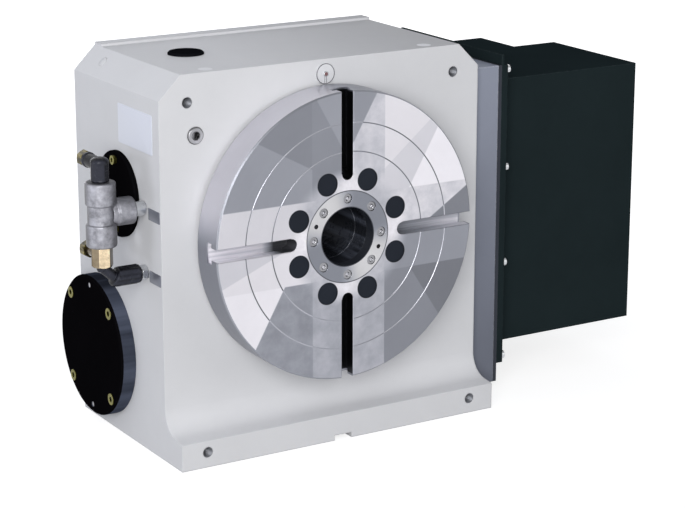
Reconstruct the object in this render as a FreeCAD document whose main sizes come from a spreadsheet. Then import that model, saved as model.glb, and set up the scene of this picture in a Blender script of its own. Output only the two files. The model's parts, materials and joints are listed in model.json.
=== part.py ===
import FreeCAD, Part
import math
import os
import Sketcher

doc = FreeCAD.newDocument("RotaryTable")
sheet = doc.addObject("Spreadsheet::Sheet", "Sizes")
parts = []


class Size:
    """A number together with the sheet formula that it comes from."""

    def __init__(self, value, text):
        self.value = float(value)
        self.text = text

    def __add__(self, other):
        other = as_size(other)
        return Size(self.value + other.value, "(%s + %s)" % (self.text, other.text))

    def __sub__(self, other):
        other = as_size(other)
        return Size(self.value - other.value, "(%s - %s)" % (self.text, other.text))

    def __mul__(self, other):
        other = as_size(other)
        return Size(self.value * other.value, "(%s * %s)" % (self.text, other.text))

    def __truediv__(self, other):
        other = as_size(other)
        return Size(self.value / other.value, "(%s / %s)" % (self.text, other.text))

    def __radd__(self, other):
        return as_size(other) + self

    def __rsub__(self, other):
        return as_size(other) - self

    def __rmul__(self, other):
        return as_size(other) * self

    def __rtruediv__(self, other):
        return as_size(other) / self

    def __neg__(self):
        return Size(-self.value, "(0 - %s)" % self.text)


def as_size(x):
    """A plain number becomes a Size with itself as the formula."""
    if isinstance(x, Size):
        return x
    return Size(x, "(%.9f)" % x)


def size(name, value):
    """Puts one named size in the sheet and returns it."""
    row = len(sheet.getUsedCells()) // 2 + 1
    sheet.set("A%d" % row, name)
    sheet.set("B%d" % row, str(value))
    sheet.setAlias("B%d" % row, name)
    return Size(value, "Sizes." + name)


def cosine(angle):
    """Cosine of an angle in degrees."""
    return Size(math.cos(math.radians(angle.value)), "cos(%s)" % angle.text)


def sine(angle):
    """Sine of an angle in degrees."""
    return Size(math.sin(math.radians(angle.value)), "sin(%s)" % angle.text)


# Table and its centre
table_radius = size("table_radius", 160)
table_thickness = size("table_thickness", 44)
table_gap = size("table_gap", 4)
table_edge = size("table_edge", 1.5)
slot_width = size("slot_width", 14)
slot_start = size("slot_start", 63)
slot_neck = size("slot_neck", 12)
slot_foot_width = size("slot_foot_width", 23)
slot_depth = size("slot_depth", 22)
slot_edge = size("slot_edge", 0.8)
inner_line_radius = size("inner_line_radius", 94)
outer_line_radius = size("outer_line_radius", 125.5)
line_width = size("line_width", 0.9)
line_depth = size("line_depth", 0.4)
ring_radius = size("ring_radius", 51)
ring_thickness = size("ring_thickness", 14)
bore_radius = size("bore_radius", 32.5)
pilot_depth = size("pilot_depth", 37)
pilot_groove_width = size("pilot_groove_width", 1.6)
pilot_groove_depth = size("pilot_groove_depth", 0.8)
fit_gap = size("fit_gap", 0.05)
loose_gap = size("loose_gap", 0.1)
hole_room = size("hole_room", 0.2)
well_room = size("well_room", 0.4)
overcut = size("overcut", 1)
edge_break = size("edge_break", 1.5)
small_edge = size("small_edge", 0.5)
ring_screw_circle = size("ring_screw_circle", 42.5)
ring_screw_head = size("ring_screw_head", 5)
ring_screw_head_height = size("ring_screw_head_height", 6)
ring_screw_shank = size("ring_screw_shank", 3)
ring_screw_length = size("ring_screw_length", 18)
ring_screw_sink = size("ring_screw_sink", 0.8)
ring_screw_socket = size("ring_screw_socket", 5)
jack_hole_radius = size("jack_hole_radius", 2.5)
bolt_circle = size("bolt_circle", 65.5)
bolt_well_radius = size("bolt_well_radius", 12.2)
bolt_well_depth = size("bolt_well_depth", 20)
cap_thickness = size("cap_thickness", 4)
cap_sink = size("cap_sink", 0.8)
bolt_head_radius = size("bolt_head_radius", 10.5)
bolt_head_height = size("bolt_head_height", 14)
bolt_shank = size("bolt_shank", 7)
bolt_shank_room = size("bolt_shank_room", 0.4)
bolt_length = size("bolt_length", 36)
bolt_socket = size("bolt_socket", 12)

# Housing casting
housing_width = size("housing_width", 400)
housing_height = size("housing_height", 422)
housing_depth = size("housing_depth", 208)
centre_height = size("centre_height", 235)
corner_cut = size("corner_cut", 26)
foot_reach = size("foot_reach", 38.5)
foot_height = size("foot_height", 30)
foot_rise = size("foot_rise", 5)
foot_blend = size("foot_blend", 26)
lip_height = size("lip_height", 3)
lip_depth = size("lip_depth", 18)
key_slot_width = size("key_slot_width", 22)
key_slot_depth = size("key_slot_depth", 6)
tapped_radius = size("tapped_radius", 6)
tapped_depth = size("tapped_depth", 28)
front_hole_inset = size("front_hole_inset", 33.5)
front_hole_drop = size("front_hole_drop", 30.5)
foot_hole_inset = size("foot_hole_inset", 31)
foot_hole_height = size("foot_hole_height", 17)
seal_radius = size("seal_radius", 94)
seal_depth = size("seal_depth", 11)
bearing_radius = size("bearing_radius", 85)
bearing_back = size("bearing_back", 45)
throat_radius = size("throat_radius", 74)
piston_inner = size("piston_inner", 88)
piston_outer = size("piston_outer", 106)
piston_floor = size("piston_floor", 52)
wall_back = size("wall_back", 68)
disc_room_radius = size("disc_room_radius", 111)
disc_room = size("disc_room", 5)
chamber_radius = size("chamber_radius", 126)
core_wall = size("core_wall", 28)
core_bottom = size("core_bottom", 150)
core_front = size("core_front", 90)
core_back_wall = size("core_back_wall", 20)
oil_plug_inset = size("oil_plug_inset", 42.5)
oil_plug_drop = size("oil_plug_drop", 66.5)
oil_plug_radius = size("oil_plug_radius", 9.5)
oil_plug_depth = size("oil_plug_depth", 9)
oil_plug_stand = size("oil_plug_stand", 1.5)
oil_plug_socket = size("oil_plug_socket", 8)
oil_plug_socket_depth = size("oil_plug_socket_depth", 5)
zero_disc_rise = size("zero_disc_rise", 11)
zero_disc_radius = size("zero_disc_radius", 11.5)
zero_disc_thickness = size("zero_disc_thickness", 2)
zero_screw_head = size("zero_screw_head", 3)
zero_screw_height = size("zero_screw_height", 1.5)
zero_screw_shank = size("zero_screw_shank", 1.5)
zero_screw_socket = size("zero_screw_socket", 2)
zero_screw_length = size("zero_screw_length", 12)
top_plug_inset = size("top_plug_inset", 86)
top_plug_depth = size("top_plug_depth", 104)
top_plug_radius = size("top_plug_radius", 20)
top_plug_thickness = size("top_plug_thickness", 3)
top_plug_step = size("top_plug_step", 2)
top_plug_stem = size("top_plug_stem", 6)
lift_inset = size("lift_inset", 63)
lift_depth = size("lift_depth", 15)
lift_radius = size("lift_radius", 8)
lift_hole_depth = size("lift_hole_depth", 24)
lift_plug_length = size("lift_plug_length", 18)
port_depth = size("port_depth", 38)
port_upper_height = size("port_upper_height", 275)
port_lower_height = size("port_lower_height", 204)
port_radius = size("port_radius", 5.5)
port_length = size("port_length", 26)

# Spindle train
spindle_flange = size("spindle_flange", 84)
spindle_flange_end = size("spindle_flange_end", 13)
spindle_radius = size("spindle_radius", 60)
spindle_tail = size("spindle_tail", 19)
race_radius = size("race_radius", 69)
race_gap = size("race_gap", 7)
race_offset = size("race_offset", 1)
sleeve_radius = size("sleeve_radius", 70)
brake_disc_radius = size("brake_disc_radius", 109)
brake_disc_thickness = size("brake_disc_thickness", 3.5)
brake_disc_room = size("brake_disc_room", 0.7)
piston_travel = size("piston_travel", 0.5)
piston_room = size("piston_room", 0.6)
brake_ring_inner = size("brake_ring_inner", 92)
brake_ring_thickness = size("brake_ring_thickness", 10)
wheel_set_back = size("wheel_set_back", 59)
wheel_face = size("wheel_face", 36)
hub_flange_radius = size("hub_flange_radius", 92)
hub_flange_thickness = size("hub_flange_thickness", 19)
hub_neck_radius = size("hub_neck_radius", 72)
hub_spigot_radius = size("hub_spigot_radius", 70)
hub_tail = size("hub_tail", 8)
wheel_bolt_circle = size("wheel_bolt_circle", 80)
wheel_bolt_head = size("wheel_bolt_head", 7)
wheel_bolt_head_height = size("wheel_bolt_head_height", 8)
wheel_bolt_shank = size("wheel_bolt_shank", 4)
wheel_bolt_length = size("wheel_bolt_length", 48)
wheel_bolt_socket = size("wheel_bolt_socket", 6)
rear_bearing_width = size("rear_bearing_width", 25)
nut_thickness = size("nut_thickness", 10)
nut_radius = size("nut_radius", 73)
nut_room = size("nut_room", 3)
nut_face_room = size("nut_face_room", 2)
nut_key_width = size("nut_key_width", 8)
nut_key_depth = size("nut_key_depth", 5)

# Worm drive
wheel_teeth = size("wheel_teeth", 90)
wheel_module = size("wheel_module", 2.5)
worm_pitch_radius = size("worm_pitch_radius", 28.5)
worm_length = size("worm_length", 66)
worm_shaft_radius = size("worm_shaft_radius", 20)
worm_step = size("worm_step", 3)
worm_shoulder = size("worm_shoulder", 4)
worm_run_out = size("worm_run_out", 7.5)
worm_turns = size("worm_turns", 8)
worm_tail_radius = size("worm_tail_radius", 16)
worm_bearing_radius = size("worm_bearing_radius", 38)
worm_bearing_start = size("worm_bearing_start", 95)
worm_bearing_width = size("worm_bearing_width", 25)
worm_left_end = size("worm_left_end", 150)
worm_end_room = size("worm_end_room", 1)
worm_nut_radius = size("worm_nut_radius", 28)
worm_nut_thickness = size("worm_nut_thickness", 12)
worm_nut_gap = size("worm_nut_gap", 0.5)
end_cover_radius = size("end_cover_radius", 80)
end_cover_thickness = size("end_cover_thickness", 17)
end_cover_edge = size("end_cover_edge", 2)
end_cover_spigot = size("end_cover_spigot", 10)
end_cover_circle = size("end_cover_circle", 70)
cover_head_radius = size("cover_head_radius", 6.5)
cover_head_height = size("cover_head_height", 8)
cover_well_depth = size("cover_well_depth", 7)
cover_shank = size("cover_shank", 4)
cover_screw_length = size("cover_screw_length", 24)
cover_socket = size("cover_socket", 6)
jack_plug_radius = size("jack_plug_radius", 3)
jack_plug_length = size("jack_plug_length", 6)
jack_plug_sink = size("jack_plug_sink", 0.5)
jack_hole_room = size("jack_hole_room", 2)
brake_cover_depth = size("brake_cover_depth", 98)
brake_cover_height = size("brake_cover_height", 278)
brake_cover_radius = size("brake_cover_radius", 47.5)
brake_cover_thickness = size("brake_cover_thickness", 5)
brake_cover_spigot_radius = size("brake_cover_spigot_radius", 30)
brake_cover_spigot = size("brake_cover_spigot", 8)
brake_cover_room = size("brake_cover_room", 4)
brake_cover_edge = size("brake_cover_edge", 1)
brake_cover_circle = size("brake_cover_circle", 38)
small_head_radius = size("small_head_radius", 5)
small_head_height = size("small_head_height", 4)
small_shank = size("small_shank", 3)
small_screw_length = size("small_screw_length", 16)
small_socket = size("small_socket", 5)

# Air fittings
tee_reach = size("tee_reach", 51)
tee_height = size("tee_height", 70)
tee_collar_radius = size("tee_collar_radius", 16.5)
tee_collar_taper = size("tee_collar_taper", 2)
tee_collar_height = size("tee_collar_height", 24)
tee_waist_radius = size("tee_waist_radius", 14.5)
tee_branch_radius = size("tee_branch_radius", 15)
tee_neck_radius = size("tee_neck_radius", 11.5)
tee_neck_end = size("tee_neck_end", 18.5)
tee_branch_start = size("tee_branch_start", 20.5)
tee_wall = size("tee_wall", 3)
tee_branch_reach = size("tee_branch_reach", 36)
tee_bore = size("tee_bore", 6.5)
nipple_depth = size("nipple_depth", 14)
nipple_collar = size("nipple_collar", 2.5)
nipple_gap = size("nipple_gap", 2)
nipple_bare = size("nipple_bare", 4)
nipple_end_room = size("nipple_end_room", 6)
elbow_radius = size("elbow_radius", 10)
elbow_round = size("elbow_round", 6)
elbow_round_side = size("elbow_round_side", 2)
elbow_cap = size("elbow_cap", 1)
elbow_rise = size("elbow_rise", 18)
elbow_outlet_radius = size("elbow_outlet_radius", 7.5)
elbow_outlet_reach = size("elbow_outlet_reach", 29.5)
elbow_bore = size("elbow_bore", 3)
elbow_shank = size("elbow_shank", 14)
tube_nut_across = size("tube_nut_across", 16)
tube_nut_length = size("tube_nut_length", 10)
tube_nut_bore = size("tube_nut_bore", 4)
brass_across = size("brass_across", 20.5)
brass_turn = size("brass_turn", 20)
brass_stem = size("brass_stem", 10)
brass_height = size("brass_height", 22)
brass_branch_radius = size("brass_branch_radius", 6.5)
brass_branch_reach = size("brass_branch_reach", 29.5)
lower_elbow_radius = size("lower_elbow_radius", 11)
lower_elbow_round = size("lower_elbow_round", 5)
lower_elbow_end = size("lower_elbow_end", 2)
lower_elbow_socket = size("lower_elbow_socket", 11)
lower_nipple_collar = size("lower_nipple_collar", 3)
lower_nipple_socket = size("lower_nipple_socket", 12)
lower_elbow_start = size("lower_elbow_start", 8)
lower_elbow_leg = size("lower_elbow_leg", 9.4)

# Gear case, motor and cover
case_front = size("case_front", 9)
case_overhang = size("case_overhang", 14)
case_bottom = size("case_bottom", 12)
case_drop = size("case_drop", 32)
case_width = size("case_width", 35)
case_wall = size("case_wall", 8)
case_floor = size("case_floor", 10)
case_screw_inset = size("case_screw_inset", 24)
case_screw_length = size("case_screw_length", 20)
seal_face_room = size("seal_face_room", 1)
plate_thickness = size("plate_thickness", 4.5)
gear_module = size("gear_module", 2)
driven_teeth = size("driven_teeth", 60)
pinion_teeth = size("pinion_teeth", 30)
gear_width = size("gear_width", 16)
gear_offset = size("gear_offset", 15)
gear_line_angle = size("gear_line_angle", 19)
gear_nut_radius = size("gear_nut_radius", 24)
gear_nut_thickness = size("gear_nut_thickness", 3)
motor_shaft_radius = size("motor_shaft_radius", 11)
motor_shaft_depth = size("motor_shaft_depth", 40)
motor_pilot_radius = size("motor_pilot_radius", 40)
motor_flange_side = size("motor_flange_side", 130)
motor_flange_thickness = size("motor_flange_thickness", 12)
motor_side = size("motor_side", 118)
motor_corner = size("motor_corner", 25)
motor_length = size("motor_length", 146)
motor_screw_offset = size("motor_screw_offset", 51.3)
motor_screw_head = size("motor_screw_head", 6)
motor_socket = size("motor_socket", 6)
encoder_side = size("encoder_side", 84)
encoder_length = size("encoder_length", 34)
lip_frame_thickness = size("lip_frame_thickness", 8.5)
cover_bottom = size("cover_bottom", 34)
cover_front_rim = size("cover_front_rim", 17)
cover_rear_rim = size("cover_rear_rim", 32)
cover_low_rim = size("cover_low_rim", 21)
cover_high_rim = size("cover_high_rim", 20)
drip_height = size("drip_height", 12)
drip_thickness = size("drip_thickness", 3)
cover_reach = size("cover_reach", 198)
cover_wall = size("cover_wall", 3)
cover_tail_start = size("cover_tail_start", 17)
cover_tail_width = size("cover_tail_width", 120)
cover_tail_depth = size("cover_tail_depth", 72)
button_head = size("button_head", 5)
button_height = size("button_height", 6)
button_shank = size("button_shank", 2.5)
button_length = size("button_length", 24)
button_socket = size("button_socket", 4)
button_inset = size("button_inset", 8)
button_end = size("button_end", 6.5)
gland_radius = size("gland_radius", 10)
gland_across = size("gland_across", 26)
gland_height = size("gland_height", 200)
gland_hex_height = size("gland_hex_height", 8)
gland_cap_height = size("gland_cap_height", 12)
gland_cap_step = size("gland_cap_step", 1.5)
gland_stem = size("gland_stem", 6)
gland_wall = size("gland_wall", 4)

# Rear cover
rear_radius = size("rear_radius", 142)
rear_thickness = size("rear_thickness", 10)
rear_spigot = size("rear_spigot", 12)
rear_hub_radius = size("rear_hub_radius", 100)
rear_opening = size("rear_opening", 62)
rear_screw_circle = size("rear_screw_circle", 134)

half_width = housing_width / 2
wheel_plane = housing_depth - wheel_set_back
worm_depth = wheel_plane
spindle_end = housing_depth + spindle_tail
front_hole_height = housing_height - front_hole_drop
oil_plug_height = housing_height - oil_plug_drop
oil_plug_x = oil_plug_inset - half_width
zero_disc_height = centre_height + table_radius + zero_disc_rise
top_plug_x = top_plug_inset - half_width
case_back = housing_depth + case_overhang
case_top = housing_height - case_drop
cover_top = case_top
wheel_pitch_radius = wheel_module * wheel_teeth / 2
worm_height = centre_height - wheel_pitch_radius - worm_pitch_radius
face_standoff = table_thickness + table_gap
plate_start = half_width + case_width
worm_right_end = plate_start - worm_end_room
frame_start = plate_start + plate_thickness
frame_end = frame_start + lip_frame_thickness
cover_right = frame_end + cover_reach
gear_distance = gear_module * (driven_teeth + pinion_teeth) / 2
motor_depth = worm_depth - gear_distance * sine(gear_line_angle)
motor_height = worm_height + gear_distance * cosine(gear_line_angle)

PLANES = {"X": ("YZ_Plane", 1), "Y": ("XZ_Plane", -1), "Z": ("XY_Plane", 1)}
TURNING = {"X": ("XZ_Plane", "H_Axis"), "Y": ("YZ_Plane", "H_Axis"), "Z": ("XZ_Plane", "V_Axis")}


def origin_item(body, role):
    """The body's own origin plane or axis of that role."""
    return [f for f in body.Origin.OriginFeatures if f.Role == role][0]


def bind(item, path, formula):
    """Ties one property to its sheet formula."""
    item.setExpression(path, as_size(formula).text)


def new_body(label, x=0, y=0, z=0, turn=None):
    """An empty body at a place given from the housing's front face and its underside."""
    body = doc.addObject("PartDesign::Body", label)
    body.Label = label
    body.AllowCompound = True
    if turn is not None:
        body.Placement = FreeCAD.Placement(
            FreeCAD.Vector(0, 0, 0), FreeCAD.Rotation(FreeCAD.Vector(1, 0, 0), turn.value)
        )
        bind(body, "Placement.Rotation.Angle", turn)
    bind(body, "Placement.Base.x", as_size(x))
    bind(body, "Placement.Base.y", as_size(y) + face_standoff)
    bind(body, "Placement.Base.z", as_size(z) - centre_height)
    parts.append(body)
    return body


def new_sketch(body, role, offset=0, shift=None):
    """A sketch on one of the body's origin planes, moved along its normal and within the plane."""
    sketch = body.newObject("Sketcher::SketchObject", body.Label + "_sketch")
    sketch.AttachmentSupport = [(origin_item(body, role), "")]
    sketch.MapMode = "FlatFace"
    bind(sketch, "AttachmentOffset.Base.z", offset)
    if shift is not None:
        bind(sketch, "AttachmentOffset.Base.x", shift[0])
        bind(sketch, "AttachmentOffset.Base.y", shift[1])
    return sketch


def fill(sketch, shapes):
    """Draws closed outlines and circles, each point held at its sheet formula."""
    held = []
    for shape in shapes:
        first = sketch.GeometryCount
        if shape[0] == "circle":
            u, v, r = [as_size(q) for q in shape[1:]]
            centre = FreeCAD.Vector(u.value, v.value, 0)
            sketch.addGeometry(Part.Circle(centre, FreeCAD.Vector(0, 0, 1), r.value), False)
            held.append((Sketcher.Constraint("Radius", first, r.value), r.text))
            held += hold(first, 3, u, v)
            continue
        corners = [(as_size(u), as_size(v)) for u, v in shape[1]]
        count = len(corners)
        ends = [FreeCAD.Vector(u.value, v.value, 0) for u, v in corners]
        lines = [Part.LineSegment(ends[i], ends[(i + 1) % count]) for i in range(count)]
        sketch.addGeometry(lines, False)
        for i in range(count):
            follower = first + (i + 1) % count
            held.append((Sketcher.Constraint("Coincident", first + i, 2, follower, 1), None))
        for i, (u, v) in enumerate(corners):
            held += hold(first + i, 1, u, v)
    numbers = sketch.addConstraint([c for c, text in held])
    for number, (constraint, text) in zip(numbers, held):
        if text is not None:
            sketch.setExpression("Constraints[%d]" % number, text)


def hold(item, point, u, v):
    """Constraints that keep a sketch point at u, v; a zero lies on the axis."""
    out = []
    for kind, axis, place in (("DistanceX", -2, u), ("DistanceY", -1, v)):
        if abs(place.value) < 1e-9:
            out.append((Sketcher.Constraint("PointOnObject", item, point, axis), None))
        else:
            out.append((Sketcher.Constraint(kind, -1, 1, item, point, place.value), place.text))
    return out


def turned(label, axis, place, points, turn=None):
    """A body turned about its own axis from (along, radius) points."""
    body = new_body(label, *place, turn=turn)
    add_turn(body, axis, points, "PartDesign::Revolution")
    return body


def add_turn(body, axis, points, kind, shift=None):
    """Adds or cuts a turned shape about an axis through the body's origin or the shift."""
    role, axis_name = TURNING[axis]
    sketch = new_sketch(body, role, 0, shift)
    fill(sketch, [("poly", points if axis != "Z" else [(r, a) for a, r in points])])
    feature = body.newObject(kind, body.Label + "_turn")
    feature.Profile = sketch
    feature.ReferenceAxis = (sketch, [axis_name])
    feature.Angle = 360
    return feature


def run_out(body, kind, axis, start, length, toward, shapes):
    """Pads or pockets flat shapes from start along the axis; no length means right through."""
    role, sign = PLANES[axis]
    sketch = new_sketch(body, role, as_size(start) * sign)
    fill(sketch, shapes)
    feature = body.newObject("PartDesign::" + kind, body.Label + "_" + kind.lower())
    feature.Profile = sketch
    if kind == "Pad":
        feature.Reversed = toward != sign
    else:
        feature.Reversed = toward == sign
    if length is None:
        feature.Type = 1
    else:
        bind(feature, "Length", length)
    return feature


def pad(body, axis, start, length, toward, shapes):
    """Adds material from flat shapes."""
    return run_out(body, "Pad", axis, start, length, toward, shapes)


def cut(body, axis, start, length, toward, shapes):
    """Removes material from flat shapes."""
    return run_out(body, "Pocket", axis, start, length, toward, shapes)


def repeat(body, features, axis, count):
    """Repeats features evenly around one of the body's own axes."""
    pattern = body.newObject("PartDesign::PolarPattern", body.Label + "_round")
    pattern.Originals = features
    pattern.Axis = (origin_item(body, axis + "_Axis"), [""])
    pattern.Angle = 360
    bind(pattern, "Occurrences", count)
    body.Tip = pattern
    return pattern


def box(u0, u1, v0, v1):
    """A rectangle between two corners."""
    return ("poly", [(u0, v0), (u1, v0), (u1, v1), (u0, v1)])


def hexagon(u, v, across, lean=0):
    """A hexagon given by its size across flats."""
    u, v = as_size(u), as_size(v)
    reach = as_size(across) / math.sqrt(3)
    angles = [math.radians(60 * i + lean) for i in range(6)]
    return ("poly", [(u + reach * math.cos(a), v + reach * math.sin(a)) for a in angles])


def ring_points(radius, angles):
    """Points on a circle about the origin at angles in degrees."""
    out = []
    for angle in angles:
        a = math.radians(angle)
        out.append((radius * round(math.cos(a), 12), radius * round(math.sin(a), 12)))
    return out


def screws(label, place, axis, toward, seat, centres, head, height, shank, length, socket):
    """Socket screws as separate solids; toward is the way they are driven in."""
    body = new_body(label, *place)
    top = as_size(seat) - as_size(height) * toward
    pad(body, axis, seat, height, -toward, [("circle", u, v, head) for u, v in centres])
    pad(body, axis, seat, length, toward, [("circle", u, v, shank) for u, v in centres])
    deep = as_size(height) * 0.55
    cut(body, axis, top, deep, toward, [hexagon(u, v, socket) for u, v in centres])
    return body


def holes(body, axis, start, length, toward, centres, radius):
    """Round holes at the given centres."""
    return cut(body, axis, start, length, toward, [("circle", u, v, radius) for u, v in centres])


AXIS = (0, 0, centre_height)
face = -face_standoff
plate_back = -table_gap
eighths = [45 * i for i in range(8)]
between = [22.5 + 45 * i for i in range(8)]

# Table plate with four T-slots
plate = turned("faceplate", "Y", AXIS, [
    (face, ring_radius),
    (face, table_radius - table_edge),
    (face + table_edge, table_radius),
    (plate_back - table_edge, table_radius),
    (plate_back, table_radius - table_edge),
    (plate_back, ring_radius),
])
slot_half = slot_width / 2
foot_half = slot_foot_width / 2
past = table_radius + table_gap
neck_cut = cut(plate, "Y", face, slot_depth, 1, [box(slot_start + slot_half, past, -slot_half, slot_half)])
neck_end = holes(plate, "Y", face, slot_depth, 1, [(slot_start + slot_half, 0)], slot_half)
edge_half = slot_half + slot_edge
edge_cut = cut(plate, "X", slot_start + slot_half, past - slot_start - slot_half, 1, [("poly", [
    (face, -edge_half),
    (face, edge_half),
    (face + slot_edge, slot_half),
    (face + slot_edge, -slot_half),
])])
foot_cut = cut(plate, "Y", face + slot_neck, slot_depth - slot_neck, 1,
               [box(slot_start + slot_half, past, -foot_half, foot_half)])
repeat(plate, [neck_cut, neck_end, edge_cut, foot_cut], "Y", 4)
bolt_places = ring_points(bolt_circle, between)
holes(plate, "Y", face, bolt_well_depth, 1, bolt_places, bolt_well_radius)
holes(plate, "Y", face, None, 1, bolt_places, bolt_shank + bolt_shank_room)
for line_radius in (inner_line_radius, outer_line_radius):
    add_turn(plate, "Y", [
        (face, line_radius - line_width / 2),
        (face, line_radius + line_width / 2),
        (face + line_depth, line_radius),
    ], "PartDesign::Groove")

# Centre ring with the spindle bore
ring = turned("centre_ring", "Y", AXIS, [
    (face, bore_radius),
    (face, ring_radius - fit_gap),
    (face + ring_thickness, ring_radius - fit_gap),
    (face + ring_thickness, bore_radius),
])
ring_places = ring_points(ring_screw_circle, eighths)
ring_seat = face + ring_screw_sink + ring_screw_head_height
holes(ring, "Y", face, ring_screw_sink + ring_screw_head_height, 1, ring_places,
      ring_screw_head + well_room)
holes(ring, "Y", face, None, 1, ring_places, ring_screw_shank + loose_gap)
holes(ring, "Y", face, None, 1, ring_points(ring_screw_circle, [157.5, 337.5]), jack_hole_radius)
screws("ring_screws", AXIS, "Y", 1, ring_seat, ring_places, ring_screw_head,
       ring_screw_head_height, ring_screw_shank, ring_screw_length, ring_screw_socket)

# Bolts that hold the table plate, and their caps
bolt_seat = face + bolt_well_depth
screws("table_bolts", AXIS, "Y", 1, bolt_seat, bolt_places, bolt_head_radius,
       bolt_head_height, bolt_shank, bolt_length, bolt_socket)
caps = new_body("bolt_caps", *AXIS)
pad(caps, "Y", face + cap_sink, cap_thickness, 1,
    [("circle", u, v, bolt_well_radius - fit_gap) for u, v in bolt_places])

# Spindle
nose = face + ring_thickness
spindle = turned("spindle", "Y", AXIS, [
    (nose, bore_radius),
    (nose, ring_radius - fit_gap),
    (plate_back, ring_radius - fit_gap),
    (plate_back, spindle_flange),
    (spindle_flange_end, spindle_flange),
    (spindle_flange_end, spindle_radius),
    (spindle_end, spindle_radius),
    (spindle_end, bore_radius),
])
add_turn(spindle, "Y", [
    (face + pilot_depth, bore_radius - overcut),
    (face + pilot_depth, bore_radius + pilot_groove_depth),
    (face + pilot_depth + pilot_groove_width, bore_radius + pilot_groove_depth),
    (face + pilot_depth + pilot_groove_width, bore_radius - overcut),
], "PartDesign::Groove")
holes(spindle, "Y", plate_back, spindle_flange_end + table_gap, 1, bolt_places, bolt_shank + fit_gap)
holes(spindle, "Y", nose, ring_screw_length, 1, ring_places, ring_screw_shank + fit_gap)

seat_radius = spindle_radius + fit_gap
disc_front = wall_back + brake_disc_room
disc_back = disc_front + brake_disc_thickness
turned("front_bearing_inner", "Y", AXIS, [
    (spindle_flange_end, seat_radius),
    (spindle_flange_end, race_radius),
    (bearing_back, race_radius),
    (bearing_back, seat_radius),
])
turned("front_bearing_outer", "Y", AXIS, [
    (spindle_flange_end + race_offset, race_radius + race_gap),
    (spindle_flange_end + race_offset, bearing_radius),
    (bearing_back, bearing_radius),
    (bearing_back, race_radius + race_gap),
])
turned("spindle_seal", "Y", AXIS, [
    (table_gap / 4, spindle_flange + loose_gap),
    (table_gap / 4, seal_radius),
    (seal_depth, seal_radius),
    (seal_depth, spindle_flange + loose_gap),
])
turned("front_spacer", "Y", AXIS, [
    (bearing_back, seat_radius),
    (bearing_back, sleeve_radius),
    (disc_front, sleeve_radius),
    (disc_front, seat_radius),
])
turned("brake_disc", "Y", AXIS, [
    (disc_front, seat_radius),
    (disc_front, brake_disc_radius),
    (disc_back, brake_disc_radius),
    (disc_back, seat_radius),
])
piston_front = wall_back + brake_disc_room - piston_travel - piston_room / 6
turned("brake_piston", "Y", AXIS, [
    (piston_floor + piston_room, piston_inner + fit_gap),
    (piston_floor + piston_room, piston_outer - fit_gap),
    (piston_front, piston_outer - fit_gap),
    (piston_front, piston_inner + fit_gap),
])
step_back = wall_back + disc_room
turned("brake_ring", "Y", AXIS, [
    (step_back, brake_ring_inner),
    (step_back, chamber_radius - fit_gap),
    (step_back + brake_ring_thickness, chamber_radius - fit_gap),
    (step_back + brake_ring_thickness, brake_ring_inner),
])

wheel_front = wheel_plane - wheel_face / 2
wheel_back = wheel_plane + wheel_face / 2
hub_end = wheel_back + hub_tail
hub = turned("wheel_hub", "Y", AXIS, [
    (disc_back, seat_radius),
    (disc_back, hub_neck_radius),
    (wheel_front - hub_flange_thickness, hub_neck_radius),
    (wheel_front - hub_flange_thickness, hub_flange_radius),
    (wheel_front, hub_flange_radius),
    (wheel_front, hub_spigot_radius),
    (wheel_back, hub_spigot_radius),
    (wheel_back, race_radius),
    (hub_end, race_radius),
    (hub_end, seat_radius),
])
wheel_bolt_places = ring_points(wheel_bolt_circle, eighths)
holes(hub, "Y", wheel_front, hub_flange_thickness, -1, wheel_bolt_places, wheel_bolt_shank + fit_gap)
screws("wheel_bolts", AXIS, "Y", -1, wheel_back, wheel_bolt_places, wheel_bolt_head,
       wheel_bolt_head_height, wheel_bolt_shank, wheel_bolt_length, wheel_bolt_socket)

# Worm wheel: straight trapezoid teeth, thinned for a free mesh
flank = math.tan(math.radians(20))


def tooth_gap(pitch_radius, module, share):
    """One gap between teeth, symmetric about the second sketch axis."""
    half = module * math.pi * share / 2
    tip = pitch_radius + module * 1.4
    root = pitch_radius - module * 1.25
    wide = half + module * 1.4 * flank
    narrow = half - module * 1.25 * flank
    return [(-narrow, root), (narrow, root), (wide, tip), (-wide, tip)]


wheel = turned("worm_wheel", "Y", AXIS, [
    (wheel_front, hub_spigot_radius + fit_gap),
    (wheel_front, wheel_pitch_radius + wheel_module),
    (wheel_back, wheel_pitch_radius + wheel_module),
    (wheel_back, hub_spigot_radius + fit_gap),
])
gap = [(-u, -v) for u, v in tooth_gap(wheel_pitch_radius, wheel_module, 0.6)]
first_gap = cut(wheel, "Y", wheel_front - overcut, wheel_face + overcut * 2, 1, [("poly", gap)])
repeat(wheel, [first_gap], "Y", wheel_teeth)
holes(wheel, "Y", wheel_front - overcut, wheel_face + overcut * 2, 1, wheel_bolt_places, wheel_bolt_shank + hole_room)

rear_race_back = hub_end + rear_bearing_width
turned("rear_bearing_inner", "Y", AXIS, [
    (hub_end, seat_radius),
    (hub_end, race_radius),
    (rear_race_back, race_radius),
    (rear_race_back, seat_radius),
])
turned("rear_bearing_outer", "Y", AXIS, [
    (hub_end, race_radius + race_gap),
    (hub_end, bearing_radius),
    (rear_race_back, bearing_radius),
    (rear_race_back, race_radius + race_gap),
])
nut_back = rear_race_back + nut_thickness
nut = turned("spindle_nut", "Y", AXIS, [
    (rear_race_back, seat_radius),
    (rear_race_back, nut_radius),
    (nut_back, nut_radius),
    (nut_back, seat_radius),
])
notch = cut(nut, "Y", rear_race_back - overcut, nut_thickness + overcut * 2, 1,
            [box(-nut_key_width / 2, nut_key_width / 2, nut_radius - nut_key_depth, nut_radius + overcut)])
repeat(nut, [notch], "Y", 4)

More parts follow.
